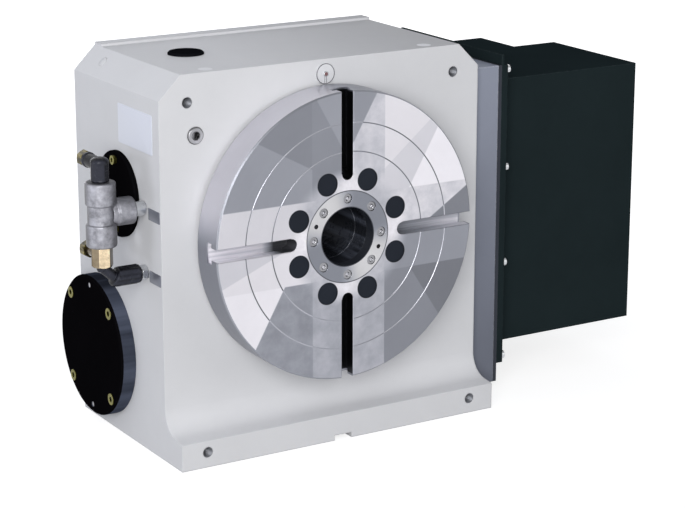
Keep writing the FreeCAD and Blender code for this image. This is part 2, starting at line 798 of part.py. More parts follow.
# Rear cover that carries the rear bearing
rear_front = housing_depth - rear_spigot
rear_out = housing_depth + rear_thickness
rear = turned("rear_cover", "Y", AXIS, [
    (hub_end, bearing_radius + fit_gap),
    (hub_end, rear_hub_radius),
    (rear_front, rear_hub_radius),
    (rear_front, chamber_radius - fit_gap),
    (housing_depth, chamber_radius - fit_gap),
    (housing_depth, rear_radius),
    (rear_out, rear_radius),
    (rear_out, rear_opening),
    (nut_back + nut_face_room, rear_opening),
    (nut_back + nut_face_room, nut_radius + nut_room),
    (rear_race_back, nut_radius + nut_room),
    (rear_race_back, bearing_radius + fit_gap),
])
rear_places = ring_points(rear_screw_circle, eighths)
holes(rear, "Y", rear_out, rear_thickness, -1, rear_places, small_shank + hole_room)
screws("rear_cover_screws", AXIS, "Y", -1, rear_out, rear_places, small_head_radius,
       small_head_height, small_shank, small_screw_length, small_socket)

# Housing casting
housing = new_body("housing")
foot_root = foot_height + foot_rise
side = run_out(housing, "Pad", "X", 0, housing_width, 1, [("poly", [
    (-foot_reach, 0),
    (-foot_reach, foot_height),
    (0, foot_root),
    (0, housing_height),
    (housing_depth, housing_height),
    (housing_depth, 0),
])])
side.Midplane = True
doc.recompute()
root_edges = []
for number, edge in enumerate(side.Shape.Edges, 1):
    middle = edge.CenterOfMass
    if abs(middle.y) < 0.01 and abs(middle.z - foot_root.value) < 0.01 and abs(middle.x) < 0.01:
        root_edges.append("Edge%d" % number)
blend = housing.newObject("PartDesign::Fillet", "housing_blend")
blend.Base = (side, root_edges)
bind(blend, "Radius", foot_blend)
housing.Tip = blend
pad(housing, "Z", housing_height, lip_height, 1,
    [box(corner_cut - half_width, half_width - corner_cut, housing_depth - lip_depth, housing_depth)])
corners = []
for way in (-1, 1):
    edge_x = half_width * way
    corners.append(("poly", [
        (edge_x, housing_height - corner_cut),
        (edge_x + overcut * way, housing_height - corner_cut),
        (edge_x + overcut * way, housing_height + overcut),
        (edge_x - corner_cut * way, housing_height + overcut),
        (edge_x - corner_cut * way, housing_height),
    ]))
cut(housing, "Y", -overcut, housing_depth + overcut * 2, 1, corners)
cut(housing, "Y", -foot_reach - overcut, housing_depth + foot_reach + overcut * 2, 1,
    [box(-key_slot_width / 2, key_slot_width / 2, -overcut, key_slot_depth)])
add_turn(housing, "Y", [
    (-overcut, 0),
    (-overcut, seal_radius + fit_gap),
    (seal_depth, seal_radius + fit_gap),
    (seal_depth, bearing_radius + fit_gap),
    (bearing_back, bearing_radius + fit_gap),
    (bearing_back, throat_radius),
    (wall_back, throat_radius),
    (wall_back, piston_inner),
    (piston_floor, piston_inner),
    (piston_floor, piston_outer),
    (wall_back, piston_outer),
    (wall_back, disc_room_radius),
    (step_back, disc_room_radius),
    (step_back, chamber_radius),
    (housing_depth + overcut, chamber_radius),
    (housing_depth + overcut, 0),
], "PartDesign::Groove", (0, centre_height))
core_half = half_width - core_wall
cut(housing, "Y", core_front, housing_depth - core_front - core_back_wall, 1,
    [box(-core_half, core_half, core_bottom, housing_height - core_wall)])
holes(housing, "X", half_width + overcut, housing_width + overcut * 2, -1, [(worm_depth, worm_height)],
      worm_bearing_radius + fit_gap)
end_places = ring_points(end_cover_circle, [45, 135, 225, 315])
end_screw_places = [(u + worm_depth, v + worm_height) for u, v in end_places]
holes(housing, "X", -half_width, cover_screw_length, 1, end_screw_places, cover_shank + fit_gap)
holes(housing, "X", -half_width, brake_cover_spigot + brake_cover_room, 1, [(brake_cover_depth, brake_cover_height)],
      brake_cover_spigot_radius)
lid_places = [(brake_cover_depth, brake_cover_height + brake_cover_circle * way) for way in (1, -1)]
holes(housing, "X", -half_width, small_screw_length, 1, lid_places, small_shank + fit_gap)
port_places = [(port_depth, port_upper_height), (port_depth, port_lower_height)]
holes(housing, "X", -half_width, port_length, 1, port_places, port_radius + fit_gap)
front_places = [((half_width - front_hole_inset) * way, front_hole_height) for way in (-1, 1)]
holes(housing, "Y", 0, tapped_depth, 1, front_places, tapped_radius)
foot_places = [((half_width - foot_hole_inset) * way, foot_hole_height) for way in (-1, 1)]
holes(housing, "Y", -foot_reach, tapped_depth, 1, foot_places, tapped_radius)
holes(housing, "Y", 0, oil_plug_depth, 1, [(oil_plug_x, oil_plug_height)], oil_plug_radius + fit_gap)
holes(housing, "Y", 0, zero_screw_length, 1, [(0, zero_disc_height)], zero_screw_shank + fit_gap)
holes(housing, "Z", housing_height, top_plug_stem + overcut, -1, [(top_plug_x, top_plug_depth)],
      top_plug_radius - top_plug_step)
lift_places = [((half_width - lift_inset) * way, lift_depth) for way in (-1, 1)]
holes(housing, "Z", housing_height, lift_hole_depth, -1, lift_places, lift_radius + fit_gap)
holes(housing, "Y", housing_depth, small_screw_length, -1,
      [(u, v + centre_height) for u, v in rear_places], small_shank + fit_gap)
case_screw_places = [(d, h) for d in (case_front + case_screw_inset, case_back - case_screw_inset)
                     for h in (case_bottom + case_screw_inset, centre_height, case_top - case_screw_inset)]
holes(housing, "X", half_width, small_screw_length, -1, case_screw_places, small_shank + fit_gap)

# Plugs and the zero mark on the casting
turned("top_plug", "Z", (top_plug_x, top_plug_depth, housing_height), [
    (-top_plug_stem, 0),
    (-top_plug_stem, top_plug_radius - top_plug_step - fit_gap),
    (0, top_plug_radius - top_plug_step - fit_gap),
    (0, top_plug_radius),
    (top_plug_thickness - edge_break, top_plug_radius),
    (top_plug_thickness, top_plug_radius - edge_break),
    (top_plug_thickness, 0),
])
lift = new_body("lifting_plugs", 0, 0, housing_height)
pad(lift, "Z", 0, lift_plug_length, -1, [("circle", u, v, lift_radius) for u, v in lift_places])
plug = turned("oil_plug", "Y", (oil_plug_x, 0, oil_plug_height), [
    (-oil_plug_stand, 0),
    (-oil_plug_stand, oil_plug_radius - edge_break),
    (edge_break - oil_plug_stand, oil_plug_radius),
    (oil_plug_depth, oil_plug_radius),
    (oil_plug_depth, 0),
])
cut(plug, "Y", -oil_plug_stand, oil_plug_socket_depth, 1, [hexagon(0, 0, oil_plug_socket)])
zero = turned("zero_mark_disc", "Y", (0, 0, zero_disc_height), [
    (-zero_disc_thickness, zero_screw_shank + loose_gap),
    (-zero_disc_thickness, zero_disc_radius - small_edge),
    (small_edge - zero_disc_thickness, zero_disc_radius),
    (0, zero_disc_radius),
    (0, zero_screw_shank + loose_gap),
])
screws("zero_mark_screw", (0, 0, zero_disc_height), "Y", 1, -zero_disc_thickness,
       [(0, 0)], zero_screw_head, zero_screw_height, zero_screw_shank, zero_screw_length, zero_screw_socket)

# Round covers on the left side
wall_x = -half_width
out_x = wall_x - end_cover_thickness
end_cover = turned("worm_end_cover", "X", (0, worm_depth, worm_height), [
    (out_x, 0),
    (out_x, end_cover_radius - end_cover_edge),
    (out_x + end_cover_edge, end_cover_radius),
    (wall_x, end_cover_radius),
    (wall_x, worm_bearing_radius),
    (wall_x + end_cover_spigot, worm_bearing_radius),
    (wall_x + end_cover_spigot, 0),
])
holes(end_cover, "X", out_x, cover_well_depth, 1, end_places, cover_head_radius + well_room)
holes(end_cover, "X", out_x, end_cover_thickness, 1, end_places, cover_shank + hole_room)
jack_places = ring_points(end_cover_circle, [90, 270])
holes(end_cover, "X", out_x, jack_plug_length + jack_hole_room, 1, jack_places, jack_plug_radius + fit_gap)
WORM = (0, worm_depth, worm_height)
screws("worm_cover_screws", WORM, "X", 1, out_x + cover_well_depth, end_places, cover_head_radius,
       cover_head_height, cover_shank, cover_screw_length, cover_socket)
jacks = new_body("worm_cover_jacks", *WORM)
pad(jacks, "X", out_x + jack_plug_sink, jack_plug_length, 1,
    [("circle", u, v, jack_plug_radius) for u, v in jack_places])

LID = (0, brake_cover_depth, brake_cover_height)
lid_out = wall_x - brake_cover_thickness
lid = turned("brake_cover", "X", LID, [
    (lid_out, 0),
    (lid_out, brake_cover_radius - brake_cover_edge),
    (lid_out + brake_cover_edge, brake_cover_radius),
    (wall_x, brake_cover_radius),
    (wall_x, brake_cover_spigot_radius - fit_gap),
    (wall_x + brake_cover_spigot, brake_cover_spigot_radius - fit_gap),
    (wall_x + brake_cover_spigot, 0),
])
lid_screws = ring_points(brake_cover_circle, [90, 270])
holes(lid, "X", lid_out, brake_cover_thickness, 1, lid_screws, small_shank + hole_room)
screws("brake_cover_screws", LID, "X", 1, lid_out, lid_screws, small_head_radius,
       small_head_height, small_shank, small_screw_length, small_socket)

# Air fittings on the left side
tee_x = wall_x - tee_reach
TEE = (tee_x, port_depth, port_upper_height)
tee_half = tee_height / 2
collar_edge = tee_collar_radius - edge_break
tee = turned("tee_fitting", "Z", TEE, [
    (-tee_half, tee_bore + fit_gap),
    (-tee_half, collar_edge),
    (edge_break - tee_half, tee_collar_radius),
    (tee_collar_height - tee_half - tee_collar_taper, tee_collar_radius),
    (tee_collar_height - tee_half, tee_waist_radius),
    (tee_half - tee_collar_height, tee_waist_radius),
    (tee_half - tee_collar_height + tee_collar_taper, tee_collar_radius),
    (tee_half - edge_break, tee_collar_radius),
    (tee_half, collar_edge),
    (tee_half, tee_bore + fit_gap),
])
add_turn(tee, "X", [
    (tee_bore + tee_wall, port_radius + fit_gap),
    (tee_bore + tee_wall, tee_neck_radius),
    (tee_neck_end, tee_neck_radius),
    (tee_branch_start, tee_branch_radius),
    (tee_branch_reach - edge_break, tee_branch_radius),
    (tee_branch_reach, tee_branch_radius - edge_break),
    (tee_branch_reach, port_radius + fit_gap),
], "PartDesign::Revolution")
holes(tee, "X", 0, tee_branch_reach, 1, [(0, 0)], port_radius + fit_gap)
turned("upper_nipple", "X", TEE, [
    (tee_branch_reach - nipple_depth, tube_nut_bore),
    (tee_branch_reach - nipple_depth, port_radius),
    (tee_branch_reach + nipple_gap, port_radius),
    (tee_branch_reach + nipple_gap, port_radius + nipple_collar),
    (tee_reach - nipple_bare, port_radius + nipple_collar),
    (tee_reach - nipple_bare, port_radius),
    (tee_reach + port_length - nipple_end_room, port_radius),
    (tee_reach + port_length - nipple_end_room, tube_nut_bore),
])

elbow_top = tee_half + elbow_rise + elbow_outlet_radius + elbow_cap
outlet_height = tee_half + elbow_rise
elbow = turned("upper_elbow", "Z", TEE, [
    (tee_half - elbow_shank, 0),
    (tee_half - elbow_shank, tee_bore),
    (tee_half + fit_gap, tee_bore),
    (tee_half + fit_gap, elbow_radius),
    (elbow_top - elbow_round, elbow_radius),
    (elbow_top - elbow_round_side, elbow_radius - elbow_round_side),
    (elbow_top, elbow_radius - elbow_round),
    (elbow_top, 0),
])
pad(elbow, "Y", 0, elbow_outlet_reach, 1, [("circle", 0, outlet_height, elbow_outlet_radius)])
holes(elbow, "Y", elbow_outlet_reach, elbow_outlet_reach, -1, [(0, outlet_height)], elbow_bore)
holes(elbow, "Z", tee_half - elbow_shank, elbow_rise + elbow_shank, 1, [(0, 0)], elbow_bore)
upper_nut = new_body("upper_tube_nut", *TEE)
pad(upper_nut, "Y", elbow_outlet_reach, tube_nut_length, 1, [hexagon(0, outlet_height, tube_nut_across)])
holes(upper_nut, "Y", elbow_outlet_reach + tube_nut_length, tube_nut_length, -1, [(0, outlet_height)],
      tube_nut_bore)

brass_mid = -tee_half - brass_height / 2
brass = new_body("brass_connector", *TEE)
pad(brass, "Z", -tee_half, brass_height, -1, [hexagon(0, 0, brass_across, brass_turn.value)])
pad(brass, "Z", -tee_half, elbow_shank, 1, [("circle", 0, 0, tee_bore)])
pad(brass, "Z", -tee_half - brass_height, brass_stem, -1, [("circle", 0, 0, tee_bore)])
pad(brass, "Y", 0, brass_branch_reach, 1, [("circle", 0, brass_mid, brass_branch_radius)])
holes(brass, "Z", -tee_half + elbow_shank, None, -1, [(0, 0)], elbow_bore)
holes(brass, "Y", brass_branch_reach, brass_branch_reach, -1, [(0, brass_mid)], elbow_bore)
side_nut = new_body("side_tube_nut", *TEE)
pad(side_nut, "Y", brass_branch_reach, tube_nut_length, 1, [hexagon(0, brass_mid, tube_nut_across)])
holes(side_nut, "Y", brass_branch_reach + tube_nut_length, tube_nut_length, -1, [(0, brass_mid)],
      tube_nut_bore)

low_z = port_lower_height - port_upper_height
brass_foot = -tee_half - brass_height
lower_end = tee_reach - lower_elbow_start
lower = turned("lower_elbow", "X", (tee_x, port_depth, port_lower_height), [
    (-lower_elbow_radius, 0),
    (-lower_elbow_radius, lower_elbow_radius - lower_elbow_round),
    (lower_elbow_end - lower_elbow_radius, lower_elbow_radius - lower_elbow_end),
    (lower_elbow_round - lower_elbow_radius, lower_elbow_radius),
    (lower_end - lower_elbow_end, lower_elbow_radius),
    (lower_end, lower_elbow_radius - lower_elbow_end),
    (lower_end, 0),
])
pad(lower, "Z", 0, brass_foot - low_z, 1, [("circle", 0, 0, lower_elbow_leg)])
holes(lower, "Z", brass_foot - low_z, lower_elbow_socket, -1, [(0, 0)], tee_bore + fit_gap)
holes(lower, "Z", brass_foot - low_z, brass_foot - low_z, -1, [(0, 0)], elbow_bore)
holes(lower, "X", lower_end, lower_end, -1, [(0, 0)], elbow_bore)
holes(lower, "X", lower_end, lower_nipple_socket, -1, [(0, 0)], port_radius + fit_gap)
turned("lower_nipple", "X", (tee_x, port_depth, port_lower_height), [
    (lower_end - lower_nipple_socket + overcut, tube_nut_bore),
    (lower_end - lower_nipple_socket + overcut, port_radius),
    (lower_end + loose_gap, port_radius),
    (lower_end + loose_gap, port_radius + lower_nipple_collar),
    (tee_reach - loose_gap, port_radius + lower_nipple_collar),
    (tee_reach - loose_gap, port_radius),
    (tee_reach + port_length - nipple_end_room, port_radius),
    (tee_reach + port_length - nipple_end_room, tube_nut_bore),
])

# Worm shaft with a single right-hand thread
thread_pitch = wheel_module * math.pi
worm_root = worm_pitch_radius - wheel_module * 1.2
worm = turned("worm_shaft", "X", WORM, [
    (-worm_left_end, 0),
    (-worm_left_end, worm_shaft_radius - worm_step),
    (-worm_bearing_start - worm_bearing_width, worm_shaft_radius - worm_step),
    (-worm_bearing_start - worm_bearing_width, worm_shaft_radius),
    (-worm_bearing_start, worm_shaft_radius),
    (-worm_bearing_start, worm_shaft_radius + worm_shoulder),
    (-worm_length / 2 - worm_run_out, worm_shaft_radius + worm_shoulder),
    (-worm_length / 2 - worm_run_out, worm_root),
    (worm_length / 2 + worm_run_out, worm_root),
    (worm_length / 2 + worm_run_out, worm_shaft_radius + worm_shoulder),
    (worm_bearing_start, worm_shaft_radius + worm_shoulder),
    (worm_bearing_start, worm_shaft_radius),
    (worm_bearing_start + worm_bearing_width, worm_shaft_radius),
    (worm_bearing_start + worm_bearing_width, worm_tail_radius),
    (worm_right_end, worm_tail_radius),
    (worm_right_end, 0),
])
crest = thread_pitch * 0.2 - wheel_module * flank
foot = thread_pitch * 0.2 + wheel_module * 1.4 * flank
start_x = -thread_pitch * worm_turns / 2
thread_sketch = new_sketch(worm, "XZ_Plane")
fill(thread_sketch, [("poly", [
    (start_x - foot, worm_pitch_radius - wheel_module * 1.4),
    (start_x + foot, worm_pitch_radius - wheel_module * 1.4),
    (start_x + crest, worm_pitch_radius + wheel_module),
    (start_x - crest, worm_pitch_radius + wheel_module),
])])
thread = worm.newObject("PartDesign::AdditiveHelix", "worm_thread")
thread.Profile = thread_sketch
thread.ReferenceAxis = (thread_sketch, ["H_Axis"])
thread.Mode = 0
bind(thread, "Pitch", thread_pitch)
bind(thread, "Height", thread_pitch * worm_turns)
thread.LeftHanded = False
thread.Reversed = False
worm.Tip = thread

bearings = new_body("worm_bearings", *WORM)
for way in (-1, 1):
    pad(bearings, "X", worm_bearing_start * way, worm_bearing_width, way, [
        ("circle", 0, 0, worm_bearing_radius),
        ("circle", 0, 0, worm_shaft_radius + fit_gap),
    ])
worm_nut_seat = -worm_bearing_start - worm_bearing_width - worm_nut_gap
worm_nut_bore = worm_shaft_radius - worm_step + fit_gap
turned("worm_nut", "X", WORM, [
    (worm_nut_seat - worm_nut_thickness, worm_nut_bore),
    (worm_nut_seat - worm_nut_thickness, worm_nut_radius),
    (worm_nut_seat, worm_nut_radius),
    (worm_nut_seat, worm_nut_bore),
])

# Gear case on the right side
case = new_body("gear_case")
pad(case, "X", half_width, case_width, 1, [box(case_front, case_back, case_bottom, case_top)])
cut(case, "X", plate_start, case_width - case_floor, -1,
    [box(case_front + case_wall, case_back - case_wall, case_bottom + case_wall, case_top - case_wall)])
holes(case, "X", plate_start, None, -1, [(worm_depth, worm_height)], worm_bearing_radius + fit_gap)
holes(case, "X", plate_start, None, -1, case_screw_places, small_shank + hole_room)
turned("worm_seal", "X", WORM, [
    (half_width, worm_tail_radius + loose_gap),
    (half_width, worm_bearing_radius),
    (half_width + case_floor - seal_face_room, worm_bearing_radius),
    (half_width + case_floor - seal_face_room, worm_tail_radius + loose_gap),
])
screws("gear_case_screws", (0, 0, 0), "X", -1, half_width + case_floor, case_screw_places,
       small_head_radius, small_head_height, small_shank, case_screw_length, small_socket)

MOTOR = (0, motor_depth, motor_height)
gear_start = half_width + gear_offset


def spur_gear(label, place, teeth, hole, turn):
    """A spur gear with a gap facing up before it is turned into mesh."""
    pitch_radius = gear_module * teeth / 2
    body = turned(label, "X", place, [
        (gear_start, hole),
        (gear_start, pitch_radius + gear_module),
        (gear_start + gear_width, pitch_radius + gear_module),
        (gear_start + gear_width, hole),
    ], turn=turn)
    gap_cut = cut(body, "X", gear_start - overcut, gear_width + overcut * 2, 1,
                  [("poly", tooth_gap(pitch_radius, gear_module, 0.58))])
    repeat(body, [gap_cut], "X", teeth)
    return body


spur_gear("driven_gear", WORM, driven_teeth, worm_tail_radius + fit_gap, gear_line_angle)
spur_gear("pinion", MOTOR, pinion_teeth, motor_shaft_radius + fit_gap, gear_line_angle + 180 / pinion_teeth)
turned("gear_nut", "X", WORM, [
    (gear_start + gear_width, worm_tail_radius + fit_gap),
    (gear_start + gear_width, gear_nut_radius),
    (gear_start + gear_width + gear_nut_thickness, gear_nut_radius),
    (gear_start + gear_width + gear_nut_thickness, worm_tail_radius + fit_gap),
])

# Motor on its plate
plate_body = new_body("motor_plate")
pad(plate_body, "X", plate_start, plate_thickness, 1, [box(case_front, case_back, case_bottom, case_top)])
holes(plate_body, "X", frame_start, None, -1, [(motor_depth, motor_height)], motor_pilot_radius + fit_gap)
motor_places = [(a * motor_screw_offset, b * motor_screw_offset) for a in (-1, 1) for b in (-1, 1)]
holes(plate_body, "X", frame_start, None, -1,
      [(u + motor_depth, v + motor_height) for u, v in motor_places], cover_shank + fit_gap)
flange_end = frame_start + motor_flange_thickness
flange_half = motor_flange_side / 2
flange = new_body("motor_flange", *MOTOR)
pad(flange, "X", frame_start, motor_flange_thickness, 1,
    [box(-flange_half, flange_half, -flange_half, flange_half)])
pad(flange, "X", frame_start, plate_thickness, -1, [("circle", 0, 0, motor_pilot_radius)])
holes(flange, "X", flange_end, None, -1, [(0, 0)], motor_shaft_radius + fit_gap)
holes(flange, "X", flange_end, None, -1, motor_places, cover_shank + well_room)
screws("motor_screws", MOTOR, "X", -1, flange_end, motor_places, motor_screw_head,
       cover_head_height, cover_shank, motor_flange_thickness + plate_thickness, motor_socket)


def cut_square(half, corner):
    """A square with its corners cut off."""
    inner = half - corner
    return ("poly", [(half, -inner), (half, inner), (inner, half), (-inner, half),
                     (-half, inner), (-half, -inner), (-inner, -half), (inner, -half)])


motor_end = flange_end + motor_length
motor = new_body("motor_body", *MOTOR)
pad(motor, "X", flange_end, motor_length, 1, [cut_square(motor_side / 2, motor_corner)])
holes(motor, "X", flange_end, motor_shaft_depth + overcut, 1, [(0, 0)], motor_shaft_radius + fit_gap)
encoder = new_body("encoder_cap", *MOTOR)
pad(encoder, "X", motor_end, encoder_length, 1, [cut_square(encoder_side / 2, motor_corner / 2)])
turned("motor_shaft", "X", MOTOR, [
    (gear_start - overcut, 0),
    (gear_start - overcut, motor_shaft_radius),
    (flange_end + motor_shaft_depth, motor_shaft_radius),
    (flange_end + motor_shaft_depth, 0),
])

# Sheet cover over the motor
box_front = case_front + cover_front_rim
box_back = case_back - cover_rear_rim
box_bottom = cover_bottom + cover_low_rim
box_top = cover_top - cover_high_rim
cover = new_body("motor_cover")
pad(cover, "X", frame_start, lip_frame_thickness, 1, [box(case_front, case_back, cover_bottom, cover_top)])
pad(cover, "X", frame_start, drip_thickness, 1,
    [box(case_front, case_back, cover_top, cover_top + drip_height)])
box_left = frame_end
tail_left = frame_end + cover_tail_start
cover_tail_right = tail_left + cover_tail_width
cover_tail_back = box_back + cover_tail_depth
pad(cover, "Z", box_bottom, box_top - box_bottom, 1, [("poly", [
    (box_left, box_front),
    (cover_right, box_front),
    (cover_right, box_back),
    (cover_tail_right, box_back),
    (cover_tail_right, cover_tail_back),
    (tail_left, cover_tail_back),
    (tail_left, box_back),
    (box_left, box_back),
])])
cut(cover, "Z", box_top - cover_wall, box_top - box_bottom - cover_wall * 2, -1, [("poly", [
    (frame_start - overcut, box_front + cover_wall),
    (cover_right - cover_wall, box_front + cover_wall),
    (cover_right - cover_wall, box_back - cover_wall),
    (cover_tail_right - cover_wall, box_back - cover_wall),
    (cover_tail_right - cover_wall, cover_tail_back - cover_wall),
    (tail_left + cover_wall, cover_tail_back - cover_wall),
    (tail_left + cover_wall, box_back - cover_wall),
    (frame_start - overcut, box_back - cover_wall),
])])
button_places = []
for depth in (case_front + button_inset, case_back - button_inset):
    for step in range(4):
        low = cover_bottom + button_end
        high = cover_top - button_end
        button_places.append((depth, low + (high - low) * (step / 3)))
holes(cover, "X", frame_end, lip_frame_thickness, -1, button_places, button_shank + hole_room)
holes(plate_body, "X", frame_start, None, -1, button_places, button_shank + fit_gap)
holes(case, "X", plate_start, button_length, -1, button_places, button_shank + fit_gap)
screws("cover_screws", (0, 0, 0), "X", -1, frame_end, button_places, button_head,
       button_height, button_shank, button_length, button_socket)
gland_x = (tail_left + cover_tail_right) / 2
holes(cover, "Y", cover_tail_back, cover_wall, -1, [(gland_x, gland_height)], gland_radius + hole_room)
gland = new_body("cable_gland", gland_x, cover_tail_back, gland_height)
pad(gland, "Y", 0, gland_hex_height, 1, [hexagon(0, 0, gland_across)])
pad(gland, "Y", 0, cover_wall + gland_stem, -1, [("circle", 0, 0, gland_radius)])
pad(gland, "Y", gland_hex_height, gland_cap_height, 1, [("circle", 0, 0, gland_across / 2 - gland_cap_step)])
holes(gland, "Y", gland_hex_height + gland_cap_height, None, -1, [(0, 0)], gland_radius - gland_wall)

doc.recompute()
os.makedirs("parts", exist_ok=True)
problems = []
for item in doc.Objects:
    if "Invalid" in item.State or "Error" in item.State:
        problems.append("%s %s" % (item.Name, item.State))
for body in parts:
    if body.Shape.isNull() or not body.Shape.isValid():
        problems.append("%s has no valid shape" % body.Label)
if problems:
    raise RuntimeError("; ".join(problems))
for body in parts:
    body.Shape.exportStep("parts/%s.step" % body.Label)
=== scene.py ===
"""Looks of an upright rotary indexing table, laid out as an add-on and run as a script.

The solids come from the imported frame. The operators below give them their finishes and add the
pieces that carry the fine forms: air fittings, bare plates, the zero mark, threads and the gland.
Lengths are in metres.
"""

import json
import math

import bmesh
import bpy
import numpy as np
from bpy.props import FloatProperty, FloatVectorProperty, PointerProperty
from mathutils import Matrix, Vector


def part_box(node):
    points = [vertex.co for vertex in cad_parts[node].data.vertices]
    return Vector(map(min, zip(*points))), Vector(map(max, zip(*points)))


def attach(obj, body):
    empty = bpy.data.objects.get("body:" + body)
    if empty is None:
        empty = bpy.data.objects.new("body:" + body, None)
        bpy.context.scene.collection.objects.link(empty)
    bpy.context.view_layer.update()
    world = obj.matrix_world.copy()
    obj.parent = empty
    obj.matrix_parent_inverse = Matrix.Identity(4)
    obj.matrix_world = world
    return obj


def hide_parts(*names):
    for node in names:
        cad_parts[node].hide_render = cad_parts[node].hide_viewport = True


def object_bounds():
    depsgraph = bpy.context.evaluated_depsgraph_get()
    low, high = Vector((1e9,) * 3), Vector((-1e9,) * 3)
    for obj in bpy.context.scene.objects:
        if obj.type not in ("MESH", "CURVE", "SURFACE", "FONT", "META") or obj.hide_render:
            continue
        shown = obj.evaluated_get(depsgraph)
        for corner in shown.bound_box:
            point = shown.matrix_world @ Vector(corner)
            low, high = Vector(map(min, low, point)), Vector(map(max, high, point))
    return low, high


bl_info = {
    "name": "Rotary indexing table",
    "version": (1, 0, 0),
    "blender": (4, 5, 0),
    "location": "3D View > Sidebar > Rotary table",
    "description": "Finishes and fine pieces of an upright rotary indexing table",
    "category": "Object",
}

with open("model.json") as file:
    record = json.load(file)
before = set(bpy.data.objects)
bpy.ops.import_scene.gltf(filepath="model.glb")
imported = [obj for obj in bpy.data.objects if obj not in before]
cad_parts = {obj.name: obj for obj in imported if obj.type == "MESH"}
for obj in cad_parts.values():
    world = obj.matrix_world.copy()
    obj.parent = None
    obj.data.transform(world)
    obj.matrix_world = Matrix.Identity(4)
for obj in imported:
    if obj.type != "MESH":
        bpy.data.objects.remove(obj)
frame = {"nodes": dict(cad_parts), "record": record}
cad_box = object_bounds()

TEE_LOW, TEE_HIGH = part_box("tee_fitting")
HOUSING_LOW, HOUSING_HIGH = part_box("housing")
DISC_LOW, DISC_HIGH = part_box("zero_mark_disc")
GLAND_LOW, GLAND_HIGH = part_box("cable_gland")
FACE_LOW, FACE_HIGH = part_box("faceplate")
WALL = HOUSING_LOW.x
TABLE_RADIUS = (FACE_HIGH.x - FACE_LOW.x) / 2


def tint(red, green, blue):
    """A colour written in 0 to 255 display values, as the linear values that a socket takes."""
    value = np.array([red, green, blue]) / 255
    linear = np.where(value <= 0.04045, value / 12.92, ((value + 0.055) / 1.055) ** 2.4)
    return tuple(linear.tolist())


def colour(name, description, *value):
    """A colour property."""
    return FloatVectorProperty(
        name=name, description=description, subtype="COLOR", size=3, min=0, max=1, default=tint(*value)
    )


def length(name, description, value):
    """A length property, in metres."""
    return FloatProperty(
        name=name, description=description, default=value, unit="LENGTH", subtype="DISTANCE", precision=4
    )


class RotaryTableColours(bpy.types.PropertyGroup):
    """Colours of the finishes"""

    casting: colour("Casting paint", "Pale grey paint of the housing", 214, 214, 216)
    case: colour("Case paint", "Mid grey paint of the gear case", 125, 129, 141)
    cover: colour("Motor cover", "Black powder paint of the sheet cover", 33, 42, 44)
    lid: colour("Round covers", "Black enamel of the round covers", 11, 10, 12)
    # The cover rim colour is a painted reflection on the turned rims.
    lid_rim_reflection: colour("Cover rims", "Turned rims of the round covers", 54, 58, 69)
    plastic: colour("Black plastic", "Moulded black of the elbows and plugs", 30, 31, 37)
    ground: colour("Ground steel", "Ground face of the table", 222, 223, 227)
    bright: colour("Bright steel", "Turned steel", 204, 205, 208)
    # The bore colour is darkened as painted shade in the deep bore.
    bore: colour("Spindle bore", "Oil-dark wall of the bore", 52, 55, 63)
    dark: colour("Dark steel", "Black oxide of the screws", 58, 61, 69)
    cap: colour("Bolt caps", "Blue-black caps over the table bolts", 36, 40, 48)
    zinc: colour("White zinc", "Zinc plate on screws and nipples", 214, 216, 219)
    plug: colour("Oil plug", "Dull zinc of the oil plug", 168, 168, 172)
    yellow: colour("Yellow zinc", "Yellow passivated screws", 122, 118, 58)
    brass: colour("Brass", "Clean brass", 238, 214, 180)
    olive: colour("Dull brass", "Dull olive brass of the tube nuts", 82, 75, 50)
    malleable: colour("Galvanised iron", "Cast tee with its zinc coat", 150, 150, 157)
    alloy: colour("Machined alloy", "Motor flange", 196, 198, 202)
    motor: colour("Motor paint", "Dark paint of the motor", 45, 46, 49)
    bronze: colour("Wheel bronze", "Bronze of the worm wheel", 176, 122, 66)
    rubber: colour("Seal rubber", "Lip seals", 26, 26, 27)
    plate: colour("Bare label", "White coated label", 214, 217, 228)
    tag: colour("Bare tags", "Thin grey tags", 120, 123, 134)
    tapped: colour("Tapped holes", "Bare threads in the casting", 122, 124, 130)
    mark: colour("Zero mark", "Brown of the zero mark's centre", 128, 92, 94)


class RotaryTableSizes(bpy.types.PropertyGroup):
    """Sizes of the added pieces"""

    label_front: length("Label front", "Front edge of the label", 0.064)
    label_width: length("Label width", "Label along the wall", 0.081)
    label_low: length("Label foot", "Lower edge of the label", 0.1005)
    label_height: length("Label height", "Label upright", 0.043)
    tag_width: length("Tag width", "Tags along the wall", 0.026)
    tag_height: length("Tag height", "Tags upright", 0.013)
    plate_thickness: length("Plate thickness", "Thickness of label and tags", 0.0007)
    thread_pitch: length("Thread pitch", "Pitch of the pipe threads", 0.0014)
    thread_depth: length("Thread depth", "Depth of the pipe threads", 0.0006)
    lens: FloatProperty(name="Lens", description="Focal length", default=116.505, unit="CAMERA")


# Surfaces


